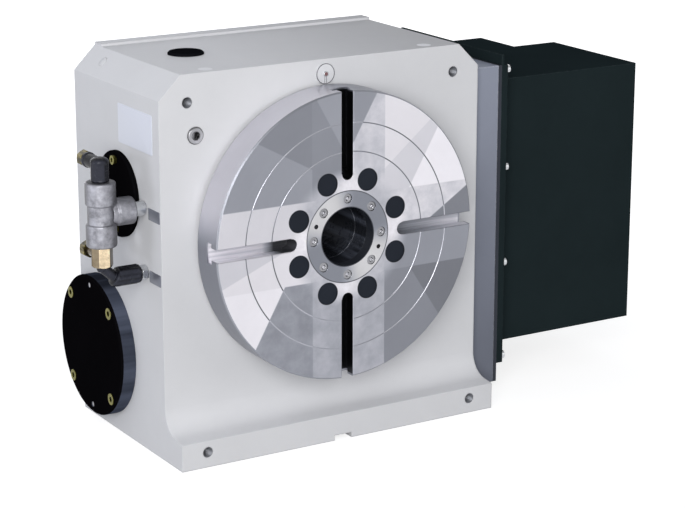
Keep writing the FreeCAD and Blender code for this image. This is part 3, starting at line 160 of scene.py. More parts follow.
def surface(name, points, along=False, sharp=35):
    """A mesh through a grid of points, row by row. The last column joins the first, and with along the last
    row joins the first too; a row that falls on one point becomes a pole."""
    rows, columns = points.shape[:2]
    index = np.arange(rows * columns).reshape(rows, columns)
    index = np.hstack([index, index[:, :1]])
    if along:
        index = np.vstack([index, index[:1]])
    quads = np.stack([index[:-1, :-1], index[1:, :-1], index[1:, 1:], index[:-1, 1:]], -1).reshape(-1, 4)
    mesh = bpy.data.meshes.new(name)
    mesh.from_pydata(points.reshape(-1, 3).tolist(), [], quads.tolist())
    work = bmesh.new()
    work.from_mesh(mesh)
    bmesh.ops.remove_doubles(work, verts=work.verts, dist=1e-7)
    bmesh.ops.dissolve_degenerate(work, edges=work.edges, dist=1e-7)
    bmesh.ops.recalc_face_normals(work, faces=work.faces)
    work.to_mesh(mesh)
    work.free()
    mesh.shade_smooth()
    mesh.set_sharp_from_angle(angle=math.radians(sharp))
    piece = bpy.data.objects.new(name, mesh)
    bpy.context.scene.collection.objects.link(piece)
    return piece


def rounded(profile, reach, steps=5):
    """Each inner corner of a polyline becomes a parabola that starts and ends reach from it, or a little
    short of half way to the next corner."""
    line = np.asarray(profile, float)
    before, corner, after = line[:-2], line[1:-1], line[2:]

    def toward(other):
        way = other - corner
        span = np.linalg.norm(way, axis=1, keepdims=True)
        return corner + way * np.minimum(reach, span * 0.45) / span

    start, end = toward(before)[:, None], toward(after)[:, None]
    t = np.linspace(0, 1, steps)[None, :, None]
    arcs = (1 - t) ** 2 * start + 2 * t * (1 - t) * corner[:, None] + t**2 * end
    return np.vstack([line[:1], arcs.reshape(-1, line.shape[1]), line[-1:]])


def turns(steps):
    """Equal angles around a full turn; the last one stops a step short of the first."""
    return np.linspace(0, 2 * np.pi, steps, endpoint=False)


def straight(start, end, count, radius):
    """Part of a profile: count points between two places, all at one radius."""
    return np.stack([np.linspace(start, end, count), np.full(count, radius)], 1)


def distances(path):
    """How far along a path each of its points lies: the sum of the steps before it."""
    return np.concatenate([[0], np.cumsum(np.linalg.norm(np.diff(path, axis=0), axis=1))])


def about(axis, centre, place, angle, radius):
    """Points at a place along an axis through centre, and at an angle and a radius about it."""
    one, two = radius * np.cos(angle), radius * np.sin(angle)
    order = {"X": (place, one, two), "Y": (one, place, two), "Z": (one, two, place)}[axis]
    return np.stack(order, -1) + np.array(centre)


def lathe(name, axis, centre, profile, steps=72, swell=None, sharp=35):
    """A profile of (along, radius) turned about an axis through centre. swell adds to the radius as a
    function of the place along and the angle."""
    place, radius = np.asarray(profile, float).T
    s, a = np.meshgrid(place, turns(steps), indexing="ij")
    r = np.repeat(radius[:, None], steps, 1)
    if swell is not None:
        r = np.where(r > 1e-6, r + swell(s, a), r)
    return surface(name, about(axis, centre, s, a, r), sharp=sharp)


def window(place, start, end, rise, fall):
    """1 between start and end and 0 outside, with straight ramps rise and fall long inside the ends."""
    return np.clip((place - start) / rise, 0, 1) * np.clip((end - place) / fall, 0, 1)


def thread(start, end, pitch, depth, fade=0.001):
    """Helical ridges for a turned surface: a triangle wave of place / pitch minus angle / full turn,
    clipped to flat crests and roots, and faded out at both ends."""
    steep, flat = 1.5, 0.25

    def swell(s, a):
        phase = np.mod(s / pitch - a / (2 * np.pi), 1)
        ridge = np.clip((1 - np.abs(2 * phase - 1)) * steep - flat, 0, 1)
        return -depth * ridge * window(s, start, end, fade, fade)

    return swell


def ripples(count, depth, start, end, lower=0, rise=0.001):
    """Facets or flutes for a turned surface: lower is taken from the cosine of count times the angle, and
    depth times the rest is faded out at both ends."""
    fall = 0.002

    def swell(s, a):
        return depth * (np.cos(count * a) - lower) * window(s, start, end, rise, fall)

    return swell


def threaded_tube(name, centre, start, end, rows, size):
    """A tube along X with a pipe thread on it."""
    bore, root, crest, chamfer = 0.004, 0.0050, 0.0055, 0.0008
    profile = np.vstack([
        [(start, bore), (start, root)],
        straight(start + chamfer, end - chamfer, rows, crest),
        [(end, root), (end, bore)],
    ])
    return lathe(name, "X", centre, profile, 64, thread(start, end, size.thread_pitch, size.thread_depth))


def nut(name, axis, centre, start, end, across, bore, turn=0):
    """A hexagon whose ends are turned to cones: at each place the radius is the smaller of the hexagon,
    which is half the size across flats over the cosine of the angle from the nearest flat's middle, and a
    cone that meets it near the flats."""
    bevel, slope, clear = 0.0024, 1.3, 1.01
    place = np.concatenate([[start, start], np.linspace(start, start + bevel, 6),
                            np.linspace(end - bevel, end, 6), [end, end]])
    s, a = np.meshgrid(place, turns(96), indexing="ij")
    hexagon = across / 2 / np.cos(np.mod(a - turn + np.pi / 6, np.pi / 3) - np.pi / 6)
    cone = across / 2 * clear + np.minimum(s - start, end - s) * slope
    r = np.minimum(hexagon, cone)
    r[0] = r[-1] = bore
    return surface(name, about(axis, centre, s, a, r), along=True, sharp=25)


def swept(name, path, radius, across, sides, swell):
    """Circles carried along a flat path. across is the direction square to the path's plane; each circle
    lies in across and in the cross product of across and the path's direction. swell adds to the radius as
    a function of the distance along and the angle."""
    across = np.array(across, float)
    way = np.gradient(path, axis=0)
    way /= np.linalg.norm(way, axis=1, keepdims=True)
    other = np.cross(across, way)
    angle = turns(sides)
    r = np.repeat(radius[:, None], sides, 1)
    r = np.where(r > 1e-6, r + swell(distances(path)[:, None], angle[None]), r)
    spokes = np.cos(angle)[None, :, None] * across + np.sin(angle)[None, :, None] * other[:, None]
    return surface(name, path[:, None] + r[..., None] * spokes, sharp=40)


def plate(name, centre, right, up, width, height, thickness, corner, edge):
    """A thin plate with round corners: a rounded rectangle carried through its edge's profile, from the
    middle of the back over the rim to the middle of the front."""
    right, up = np.array(right, float), np.array(up, float)
    out = np.cross(right, up)
    quarter = np.linspace(0, np.pi / 2, 8)
    angle = np.concatenate([quarter + k * np.pi / 2 for k in range(4)])
    sign_u = np.repeat([1, -1, -1, 1], len(quarter))
    sign_v = np.repeat([1, 1, -1, -1], len(quarter))
    t = np.linspace(0, np.pi / 2, 5)
    inset = np.concatenate([[0, 0], edge * (1 - np.cos(t)), [0]])[:, None]
    spread = np.concatenate([[0, 1], np.ones_like(t), [0]])[:, None]
    lift = np.concatenate([[0, 0], thickness - edge + edge * np.sin(t), [thickness]])
    u = ((width / 2 - corner) * sign_u + (corner - inset) * np.cos(angle)) * spread
    v = ((height / 2 - corner) * sign_v + (corner - inset) * np.sin(angle)) * spread
    points = np.array(centre) + u[..., None] * right + v[..., None] * up + lift[:, None, None] * out
    return surface(name, points, sharp=30)


def settle(piece, material, slot, *nodes, body="base"):
    """Gives a new piece its finish and its body, and hides the solids that it stands for. slot is not used.
    """
    piece.data.materials.append(material)
    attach(piece, body)
    if nodes:
        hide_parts(*nodes)


# Nodes of the finishes


class Tree:
    """Adds nodes to a node tree. A socket given as an input is linked, a value is set."""

    def __init__(self, tree):
        self.tree = tree

    def add(self, kind, inputs=None, **settings):
        """A node of one kind, with its settings and inputs."""
        node = self.tree.nodes.new(kind)
        for name, value in settings.items():
            setattr(node, name, value)
        for key, value in (inputs or {}).items():
            if isinstance(value, bpy.types.NodeSocket):
                self.tree.links.new(value, node.inputs[key])
            else:
                node.inputs[key].default_value = value
        return node

    def feed(self, label, socket):
        """Links a socket to an input of the material's shader."""
        self.tree.links.new(socket, self.tree.nodes["Principled BSDF"].inputs[label])

    def math(self, operation, one, two=0.0, three=0.0):
        """The result of one operation on values."""
        return self.add("ShaderNodeMath", {0: one, 1: two, 2: three}, operation=operation).outputs[0]

    def times(self, one, two):
        """The product of two values."""
        return self.math("MULTIPLY", one, two)

    def reach(self, one, two):
        """The distance from an axis: the root of the sum of two squares."""
        return self.math("SQRT", self.math("ADD", self.times(one, one), self.times(two, two)))

    def blend(self, share, one, two, way="MIX"):
        """A colour between two others."""
        node = self.add("ShaderNodeMix", {0: share, 6: one, 7: two}, data_type="RGBA", blend_type=way)
        return node.outputs[2]

    def pick(self, share, zero, one):
        """A value between two others."""
        return self.add("ShaderNodeMix", {0: share, 2: zero, 3: one}, data_type="FLOAT").outputs[0]

    def ramp(self, value, low, high, new_low, new_high, smooth=False):
        """A value from low to high, brought to new_low to new_high and held there outside."""
        node = self.add("ShaderNodeMapRange", {"Value": value, "From Min": low, "From Max": high,
                                               "To Min": new_low, "To Max": new_high})
        node.interpolation_type = "SMOOTHSTEP" if smooth else "LINEAR"
        return node.outputs[0]

    def above(self, value, edge, soft=0.0005):
        """1 where a value is above an edge and 0 below it, over a ramp that reaches soft to each side."""
        return self.ramp(value, edge - soft, edge + soft, 0, 1)

    def below(self, value, edge, soft=0.0005):
        """1 where a value is below an edge and 0 above it, over a ramp that reaches soft to each side."""
        return self.ramp(value, edge - soft, edge + soft, 1, 0)

    def beside(self, one, two, start, end):
        """1 to the left of the line from start to end and 0 to its right: the distance from the line,
        which is the cross product of the line's direction and the way from its start, over a short ramp."""
        run, rise = end[0] - start[0], end[1] - start[1]
        span = math.hypot(run, rise)
        offset = (rise * start[0] - run * start[1]) / span
        away = self.math("MULTIPLY_ADD", two, run / span, offset)
        return self.above(self.math("MULTIPLY_ADD", one, -rise / span, away), 0, 0.0006)

    def place(self, scale=(1, 1, 1), shift=(0, 0, 0)):
        """The object's own coordinates, scaled and shifted."""
        where = self.add("ShaderNodeTexCoord").outputs["Object"]
        return self.add("ShaderNodeMapping", {"Vector": where, "Scale": scale, "Location": shift}).outputs[0]

    def axes(self, shift=(0, 0, 0)):
        """The X, Y and Z of the object's own coordinates."""
        return self.add("ShaderNodeSeparateXYZ", {0: self.place(shift=shift)}).outputs

    def normal(self):
        """The direction in which the surface looks."""
        return self.add("ShaderNodeNewGeometry").outputs["Normal"]

    def facing(self, axis):
        """How far the surface looks along one axis."""
        return self.add("ShaderNodeSeparateXYZ", {0: self.normal()}).outputs[axis]

    def dot(self, one, two):
        """The dot product of two directions."""
        return self.add("ShaderNodeVectorMath", {0: one, 1: two}, operation="DOT_PRODUCT").outputs["Value"]

    def lit(self, base, level):
        """A colour times a level."""
        return self.add("ShaderNodeVectorMath", {0: base, 3: level}, operation="SCALE").outputs[0]

    def noise(self, vector, scale, detail=3.0, rough=0.6):
        """Cloudy values about one half."""
        return self.add("ShaderNodeTexNoise", {"Vector": vector, "Scale": scale, "Detail": detail,
                                               "Roughness": rough}).outputs["Fac"]

    def use(self, group, **values):
        """The outputs of one use of an effect, with its own values."""
        inputs = {label.capitalize(): value for label, value in values.items()}
        return self.add("ShaderNodeGroup", inputs, node_tree=group).outputs


def effect(name, inputs, outputs, build):
    """A shader node group with named value inputs and outputs, made once."""
    made = bpy.data.node_groups.get(name)
    if made:
        return made
    group = bpy.data.node_groups.new(name, "ShaderNodeTree")
    for label, default in inputs.items():
        socket = group.interface.new_socket(label, in_out="INPUT", socket_type="NodeSocketFloat")
        socket.default_value = default
    for label, kind in outputs.items():
        group.interface.new_socket(label, in_out="OUTPUT", socket_type="NodeSocket" + kind)
    tree = Tree(group)
    entry = tree.add("NodeGroupInput").outputs
    leave = tree.add("NodeGroupOutput")
    for label, socket in build(tree, entry).items():
        group.links.new(socket, leave.inputs[label])
    return group


def edge_wear_and_painted_light():
    """Mask of edges for wear and painted light: how far the rounded normal leans from the true one, broken up
    by noise; and that rounded normal. Lighter edge tones are partly painted highlight, darker ones painted
    shade."""

    def build(tree, given):
        soft = tree.add("ShaderNodeBevel", {"Radius": given["Radius"]}, samples=6).outputs[0]
        away = tree.math("SUBTRACT", 1.0, tree.dot(soft, tree.normal()))
        patch = tree.noise(tree.place(), given["Breakup"], 4.0)
        worn_and_lit = tree.times(tree.ramp(away, 0.02, 0.2, 0, 1), tree.ramp(patch, 0.4, 0.62, 0.25, 1))
        return {"Edge": worn_and_lit, "Normal": soft}

    outputs = {"Edge": "Float", "Normal": "Vector"}
    return effect("edge wear and painted light", {"Radius": 0.001, "Breakup": 120.0}, outputs, build)


def fine_grain():
    """Height and tone of a fine skin: two sizes of noise added together."""

    def build(tree, given):
        where = tree.place()
        small = tree.noise(where, given["Scale"], 2.0, 0.5)
        large = tree.noise(where, tree.times(given["Scale"], 0.12), 3.0, 0.55)
        return {"Height": tree.math("ADD", small, large), "Tone": large}

    return effect("fine grain", {"Scale": 900.0}, {"Height": "Float", "Tone": "Float"}, build)


def handling():
    """Slow patches of touch: wide noise."""

    def build(tree, given):
        return {"Patch": tree.noise(tree.place(), given["Scale"], 5.0, 0.65)}

    return effect("handling", {"Scale": 9.0}, {"Patch": "Float"}, build)


def turned_rings():
    """Fine turning marks about the table's axis: noise read at the distance from the axis and the place
    along it, so that it is the same all the way round."""

    def build(tree, given):
        axes = tree.axes()
        across = tree.reach(axes["X"], axes["Z"])
        line = tree.add("ShaderNodeCombineXYZ", {"X": across, "Y": axes["Y"]}).outputs[0]
        wide = tree.times(given["Scale"], 0.08)
        return {"Height": tree.noise(line, given["Scale"], 2.0), "Tone": tree.noise(line, wide, 2.0, 0.5)}

    return effect("turned rings", {"Scale": 1800.0}, {"Height": "Float", "Tone": "Float"}, build)


def finish(name, base, metal=0.0, rough=0.45, spread=0.1, tone=0.06, grain=900.0, height=0.00002, edge=None,
           edge_share=0.5, bevel=0.0006, breakup=120.0, rings=False, shine=0.5, patch=9.0, step=None):
    """A procedural finish: base colour with slow patches, fine grain, edges in their own tone, which stands
    for wear and, where lighter, painted highlight, where darker, painted shade, and rounded normals. Values
    that stay the same all over are set on the shader. step takes the tree and the colour and gives the colour
    that is used."""
    made = bpy.data.materials.get(name)
    if made:
        return made
    material = bpy.data.materials.new(name)
    material.use_nodes = True
    tree = Tree(material.node_tree)
    shader = material.node_tree.nodes["Principled BSDF"]
    shader.inputs["Metallic"].default_value = metal
    shader.inputs["Specular IOR Level"].default_value = shine
    worn_and_lit = tree.use(edge_wear_and_painted_light(), radius=bevel, breakup=breakup)
    skin = tree.use(turned_rings() if rings else fine_grain(), scale=grain)
    touch = tree.use(handling(), scale=patch)["Patch"]
    darker = (*[c * (1 - tone * 2) for c in base], 1)
    lighter = (*[min(1, c * (1 + tone)) for c in base], 1)
    shade = tree.blend(tree.ramp(touch, 0.3, 0.7, 0, 1), darker, lighter)
    shade = tree.blend(tree.ramp(skin["Tone"], 0.35, 0.65, 0, 0.35), shade, (*base, 1))
    # Edge tone: wear, with lighter edges as painted highlight and darker ones as painted shade.
    if edge:
        shade = tree.blend(tree.times(worn_and_lit["Edge"], edge_share), shade, (*tint(*edge), 1))
    if step:
        shade = step(tree, shade)
    gloss = tree.math("ADD", tree.times(touch, 0.6), tree.times(skin["Tone"], 0.4))
    bump = tree.add("ShaderNodeBump", {"Height": skin["Height"], "Distance": height, "Strength": 1.0,
                                       "Normal": worn_and_lit["Normal"]})
    tree.feed("Base Color", shade)
    tree.feed("Roughness", tree.ramp(gloss, 0.3, 0.7, rough - spread, rough + spread))
    tree.feed("Normal", bump.outputs[0])
    return material


# Colour steps of single finishes

# FRONT_LEFT is where the painted light on round shapes comes from; the field and band edges below part the
# table face into fields of painted reflection.
FRONT_LEFT = (-0.52, -0.85, 0.0)
FIELD_LEFT, FIELD_RIGHT = -0.044, 0.047
BAND_HALF, BAND_START = 0.045, 0.046
FINE_CIRCLES = (0.094, 0.1255)
BOLT_CIRCLE, WELL_RADIUS = 0.0655, 0.0126
SEAM_RADIUS, RING_RADIUS, BORE_RADIUS = 0.05155, 0.05045, 0.0334
GLINT_ANGLE = math.radians(132)
# Tints of the painted reflection on the table face and the centre ring: cool where dark, warm where pale.
COOL_STEEL, WARM_STEEL = (0.95, 0.97, 1.05, 1), (1.02, 0.985, 1.0, 1)
COOL_RING, WARM_RING = (0.93, 0.96, 1.06, 1), (1.02, 1.0, 0.99, 1)


def painted_form_light(low, high, dim, bright):
    """Painted light and shade on round shapes: the colour times a level, which grows with the dot product of
    the surface's normal and the direction to the front left, so surfaces turned to the front left get a
    painted highlight and the rest painted shade."""

    def levels(tree, old):
        return tree.lit(old, tree.ramp(tree.dot(tree.normal(), FRONT_LEFT), low, high, dim, bright, True))

    return levels


def grade(low, high, dim, bright):
    """Lets a finish fall off toward the floor: the colour times a level, which grows with the height."""

    def levels(tree, old):
        return tree.lit(old, tree.ramp(tree.axes()["Z"], low, high, dim, bright))

    return levels


def painted_streaks(scale, low, high, dim, bright):
    """Streaked painted highlight along the axis: the colour times a level from noise that is stretched along
    Y, dim between the bright lines.
    """

    def levels(tree, old):
        return tree.lit(old, tree.ramp(tree.noise(tree.place(scale), 1.0), low, high, dim, bright))

    return levels


def top_shade(tree, old):
    """The casting's flat top gets darker toward the motor."""
    axes = tree.axes()
    upward = tree.above(tree.facing("Z"), 0.94, 0.04)
    top = tree.times(upward, tree.above(axes["Z"], HOUSING_HIGH.z - 0.08, 0.01))
    return tree.lit(old, tree.pick(top, 1.0, tree.ramp(axes["X"], -0.08, 0.17, 1, 0.74)))


def painted_table_reflections(tree, old):
    """Ground face of the table, with painted reflection. Straight edges part it into fields of painted
    reflection, lighter or darker, under cloudy painted reflection, and the colour is tinted cool where dark
    and warm where pale. Two fine circles, the slots, the bolt wells, the rim with its chamfer and the seam of
    the centre ring are told apart by place."""
    axes = tree.axes()
    x, y, z = axes["X"], axes["Y"], axes["Z"]
    reach, turn = tree.reach(x, z), tree.math("ARCTAN2", z, x)
    aside, level = tree.math("ABSOLUTE", x), tree.math("ABSOLUTE", z)
    up, right = tree.above(z, 0), tree.above(x, 0)
    cloud = tree.ramp(tree.noise(tree.place(), 48.0, 5.0, 0.62), 0.32, 0.68, 0.86, 1.14)

    def cloudy(tone):
        return tree.times(cloud, tone)

    def split(start, end, right_tone, left_tone):
        return tree.pick(tree.beside(x, z, start, end), right_tone, left_tone)

    def fields():
        """The four quarters of painted reflection, each parted by an upright edge and by slanting lines."""
        far_left, far_right = tree.below(x, FIELD_LEFT), tree.above(x, FIELD_RIGHT)
        upper_left = tree.pick(far_left, split((-0.037, 0.152), (-0.0073, 0.0998), 0.44, 0.54),
                               split((-0.113, 0.117), (-0.042, 0.0786), 0.52, 0.41))
        pale = split((0.0846, 0.101), (0.055, 0.0767), 1.10, 0.98)
        pale = split((0.113, 0.105), (0.087, 0.060), pale, 1.26)
        upper_right = tree.pick(far_right, split((0.036, 0.153), (0.0116, 0.111), 0.48, cloudy(0.88)), pale)
        lower_left = tree.pick(far_left, cloudy(0.62),
                               split((-0.072, -0.034), (-0.118, -0.115), 1.24, cloudy(0.49)))
        lower_right = tree.pick(far_right, cloudy(0.66),
                                split((0.082, -0.0486), (0.1157, -0.101), 0.41, 0.32))
        lower = tree.pick(right, lower_left, lower_right)
        return tree.pick(up, lower, tree.pick(right, upper_left, upper_right))

    def bands(field):
        """Bands of painted reflection beside the level slots, and the hub between them with its petals of
        painted highlight.
        """
        left = tree.pick(up, split((-0.161, -0.040), (-0.0965, -0.0136), 1.14, 0.95), 1.02)
        right_band = tree.pick(up, 0.48, split((0.152, 0.037), (0.109, 0.0095), cloudy(0.98), 0.36))
        band, outside = tree.below(level, BAND_HALF), tree.above(aside, BAND_START)
        field = tree.pick(tree.times(band, outside), field, tree.pick(right, left, right_band))
        field = tree.pick(tree.times(band, tree.math("SUBTRACT", 1.0, outside)), field, cloudy(0.95))
        petals = tree.ramp(tree.math("COSINE", tree.times(turn, 4.0)), -0.2, 1.0, 0.8, 1.25)
        return tree.pick(tree.ramp(reach, 0.056, 0.078, 1, 0, True), field, cloudy(petals))

    def circles(field):
        """Two fine circles whose tone is painted reflection: dark on pale fields and pale on dark ones."""
        near = [tree.below(tree.math("ABSOLUTE", tree.math("SUBTRACT", reach, radius)), 0.0006, 0.0002)
                for radius in FINE_CIRCLES]
        other = tree.math("MAXIMUM", tree.math("MULTIPLY_ADD", field, -0.9, 1.15), 0.12)
        return tree.pick(tree.math("MAXIMUM", *near), field, other)

    def slots(field):
        """Upright slots painted black as shade, and level ones painted pale and streaked, as light that fades
        toward the hub; the level ones are less of a mirror.
        """
        sunk = tree.times(tree.above(y, 0.001, 0.0006), tree.below(reach, TABLE_RADIUS - 0.002))
        upright = tree.below(aside, 0.031, 0.001)
        lay = tree.ramp(tree.noise(tree.place((8, 60, 420)), 1.0), 0.35, 0.65, 0.72, 1.15)
        pale = tree.pick(right, tree.ramp(reach, 0.080, 0.094, 0.08, 1.15),
                         tree.ramp(reach, 0.075, 0.14, 0.4, 0.95))
        level_slot = tree.times(sunk, tree.math("SUBTRACT", 1.0, upright))
        tree.feed("Metallic", tree.ramp(level_slot, 0, 1, 1, 0.15))
        return tree.pick(sunk, field, tree.pick(upright, tree.times(pale, lay), 0.06))

    def wells(field):
        """Painted shade in the wells of the eight bolts: the angle is folded to an eighth, so one distance
        serves all.
        """
        eighth = math.pi / 4
        folded = tree.math("SUBTRACT", tree.math("FLOORED_MODULO", turn, eighth), eighth / 2)
        along = tree.math("SUBTRACT", tree.times(reach, tree.math("COSINE", folded)), BOLT_CIRCLE)
        across = tree.times(reach, tree.math("SINE", folded))
        return tree.pick(tree.below(tree.reach(along, across), WELL_RADIUS, 0.0002), field, 0.06)

    def rim(field):
        """The rim with a painted glint at its upper left, its chamfer at one fixed tone, and the seam of the
        centre ring.
        """
        toward = tree.math("COSINE", tree.math("SUBTRACT", turn, GLINT_ANGLE))
        glint = tree.ramp(toward, 0.66, 0.86, 0.42, 0.98, True)
        field = tree.pick(tree.above(reach, TABLE_RADIUS - 0.00115, 0.00035), field, glint)
        slope = tree.math("COMPARE", tree.math("ABSOLUTE", tree.facing("Y")), 0.65, 0.3)
        field = tree.pick(tree.times(slope, tree.above(reach, TABLE_RADIUS - 0.0025)), field, 0.5)
        return tree.pick(tree.below(reach, SEAM_RADIUS, 0.00015), field, 0.2)

    tone = rim(wells(slots(circles(bands(fields())))))
    hue = tree.blend(tree.ramp(tone, 0.5, 1.1, 0, 1), COOL_STEEL, WARM_STEEL)
    return tree.blend(1.0, tree.lit(old, tone), hue, "MULTIPLY")


def ring_painted_highlights(bore):
    """Turned face of the centre ring: two opposite sectors of painted highlight, from the cosine of twice the
    angle about the axis, tinted cool where dark and warm where pale, a dark outline, and a bore in painted
    shade, which is less of a mirror."""

    def levels(tree, old):
        axes = tree.axes()
        reach = tree.reach(axes["X"], axes["Z"])
        turn = tree.math("MULTIPLY_ADD", tree.math("ARCTAN2", axes["Z"], axes["X"]), 2.0, math.radians(-270))
        tone = tree.ramp(tree.math("COSINE", turn), -0.5, 0.95, 0.5, 1.2, True)
        tone = tree.pick(tree.above(reach, RING_RADIUS, 0.00015), tone, 0.22)
        hue = tree.blend(tree.ramp(tone, 0.55, 1.1, 0, 1), COOL_RING, WARM_RING)
        inside = tree.below(reach, BORE_RADIUS, 0.0002)
        tree.feed("Metallic", tree.ramp(inside, 0, 1, 1, 0.3))
        return tree.blend(inside, tree.blend(1.0, tree.lit(old, tone), hue, "MULTIPLY"), (*bore, 1))

    return levels


def painted_rim_reflections(rim):
    """Dead black face of the round covers, and on the lower one a rim in painted slate reflection, streaked
    across, told apart by how far the surface looks along the wall's own direction."""
    dark, pale = (*[c * 0.5 for c in rim], 1), (*[c * 2.1 for c in rim], 1)

    def sides(tree, old):
        streak = tree.noise(tree.place((2, 34, 34)), 1.0, 4.0, 0.55)
        slate = tree.blend(tree.ramp(streak, 0.38, 0.66, 0, 1), dark, pale)
        side = tree.below(tree.math("ABSOLUTE", tree.facing("X")), 0.475, 0.125)
        return tree.blend(tree.times(tree.below(tree.axes()["Z"], -0.035, 0.005), side), old, slate)

    return sides


def plug_lands_and_shade(x_middle, z_middle):
    """The oil plug, told apart by the distance from its axis: a dark seam at the rim, a pale land, a step in
    painted shade, and a socket with painted shade on one side."""

    def plug_shading(tree, old):
        axes = tree.axes((-x_middle, 0, -z_middle))
        reach = tree.reach(axes["X"], axes["Z"])
        tone = tree.pick(tree.below(reach, 0.0051, 0.0003), tree.ramp(reach, 0.0080, 0.0092, 1.25, 0.35), 0.5)
        socket = tree.ramp(axes["X"], -0.0012, 0.0014, 1.0, 0.08)
        return tree.lit(old, tree.pick(tree.below(reach, 0.00425, 0.00025), tone, socket))

    return plug_shading


# Finishes


def finishes(context):
    """Every finish by its slot, made from the colours of the panel."""
    c = context.scene.rotary_table_colours
    # Several colour steps below paint light: highlight and shade on the round shapes of the moulded black,
    # the clean brass and the galvanised tee; streaked highlight on the dull brass; reflection on the lower
    # cover's rim and across the table's face; shade on the casting's top.
    return {
        "casting_paint": finish(
            "casting_enamel", c.casting, rough=0.56, tone=0.02, grain=700.0, height=0.00003,
            edge=(226, 227, 231), edge_share=0.35, bevel=0.0018, shine=0.08, step=top_shade),
        "case_paint": finish(
            "case_enamel", c.case, rough=0.5, tone=0.03, grain=700.0, height=0.00003, edge=(196, 198, 206),
            edge_share=0.85, bevel=0.002, shine=0.06, step=grade(-0.17, 0.15, 0.8, 1.36)),
        "black_paint": finish(
            "cover_powder", c.cover, rough=0.6, spread=0.06, grain=1500.0, height=0.000025, edge=(74, 82, 84),
            bevel=0.0016, shine=0.0),
        "cover_black": finish(
            "lid_enamel", c.lid, rough=0.42, spread=0.06, tone=0.1, height=0.000012, edge=(44, 46, 54),
            bevel=0.0008, shine=0.0, step=painted_rim_reflections(c.lid_rim_reflection)),
        "black_plastic": finish(
            "moulded_black", c.plastic, rough=0.26, spread=0.06, tone=0.12, grain=1400.0, patch=120.0,
            edge=(96, 98, 108), edge_share=0.4, shine=0.14, step=painted_form_light(0.5, 0.88, 0.7, 2.6)),
        "bright_steel": finish(
            "turned_steel", c.bright, metal=1.0, rough=0.3, grain=1600.0, height=0.000008,
            edge=(232, 233, 235), bevel=0.0005, rings=True),
        "dark_steel": finish(
            "oxide_steel", c.dark, metal=0.7, tone=0.1, grain=1500.0, height=0.00001, edge=(112, 113, 118),
            edge_share=0.45, bevel=0.0004, shine=0.2),
        "white_zinc": finish(
            "zinc_plate", c.zinc, metal=1.0, rough=0.26, tone=0.05, grain=1500.0, height=0.000008,
            edge=(238, 239, 241), bevel=0.0005),
        "yellow_zinc": finish(
            "yellow_zinc_plate", c.yellow, metal=1.0, rough=0.34, tone=0.2, patch=200.0, height=0.000008,
            edge=(196, 192, 116), edge_share=0.45, bevel=0.0004),
        "brass": finish(
            "clean_brass", c.brass, metal=1.0, rough=0.2, tone=0.22, grain=500.0, patch=130.0,
            height=0.000008, edge=(252, 240, 214), step=painted_form_light(0.72, 0.96, 0.16, 1.2)),
        "dark_brass": finish(
            "dull_brass", c.olive, metal=0.9, rough=0.4, tone=0.28, grain=700.0, patch=160.0, height=0.00001,
            edge=(190, 180, 126), edge_share=0.6, bevel=0.0005,
            step=painted_streaks((260, 60, 260), 0.42, 0.64, 0.3, 2.6)),
        "cast_grey": finish(
            "galvanised_iron", c.malleable, metal=0.4, rough=0.4, tone=0.3, grain=520.0, patch=110.0,
            height=0.0003, edge=(232, 233, 238), edge_share=0.85, bevel=0.0011, breakup=300.0,
            step=painted_form_light(0.3, 0.97, 0.42, 1.22)),
        "motor_alloy": finish(
            "machined_alloy", c.alloy, metal=0.85, rough=0.38, tone=0.05, grain=1200.0, height=0.00001,
            edge=(222, 223, 226), bevel=0.0005),
        "motor_paint": finish("motor_enamel", c.motor, edge=(80, 81, 84), bevel=0.001, shine=0.2),
        "wheel_bronze": finish(
            "cut_bronze", c.bronze, metal=1.0, rough=0.34, tone=0.1, grain=1200.0, height=0.00001,
            edge=(214, 166, 110), bevel=0.0005),
        "seal_rubber": finish(
            "lip_rubber", c.rubber, rough=0.6, tone=0.08, grain=1500.0, edge=(48, 48, 50), shine=0.2),
        "ground_steel": finish(
            "ground_table", c.ground, metal=1.0, rough=0.36, spread=0.05, tone=0.04, grain=2200.0,
            height=0.000005, edge=(236, 236, 238), edge_share=0.25, rings=True, step=painted_table_reflections),
    }


def dress(context, *slots):
    """Puts the finishes of the named slots on the solids that have them."""
    made = finishes(context)
    count = 0
    for piece in frame["nodes"].values():
        for holder in piece.material_slots:
            name = holder.material.name.split(".")[0] if holder.material else ""
            if name in slots:
                holder.material = made[name]
                count += 1
    if not count:
        raise RuntimeError("no solid takes these finishes: " + ", ".join(slots))


def clothe(material, *nodes):
    """Puts one finish on whole solids by name."""
    for name in nodes:
        for holder in frame["nodes"][name].material_slots:
            holder.material = material


# Operators


class ROTARY_OT_castings(bpy.types.Operator):
    """Paints the housing, the lifting plugs and the gear case"""

    bl_idname = "rotary_table.castings"
    bl_label = "Castings"

    def execute(self, context):
        dress(context, "casting_paint", "case_paint")
        clothe(finish("plug_paint", tint(232, 232, 235), rough=0.5, tone=0.03, edge=(186, 187, 192),
                      bevel=0.0008, shine=0.08), "lifting_plugs")
        return {"FINISHED"}


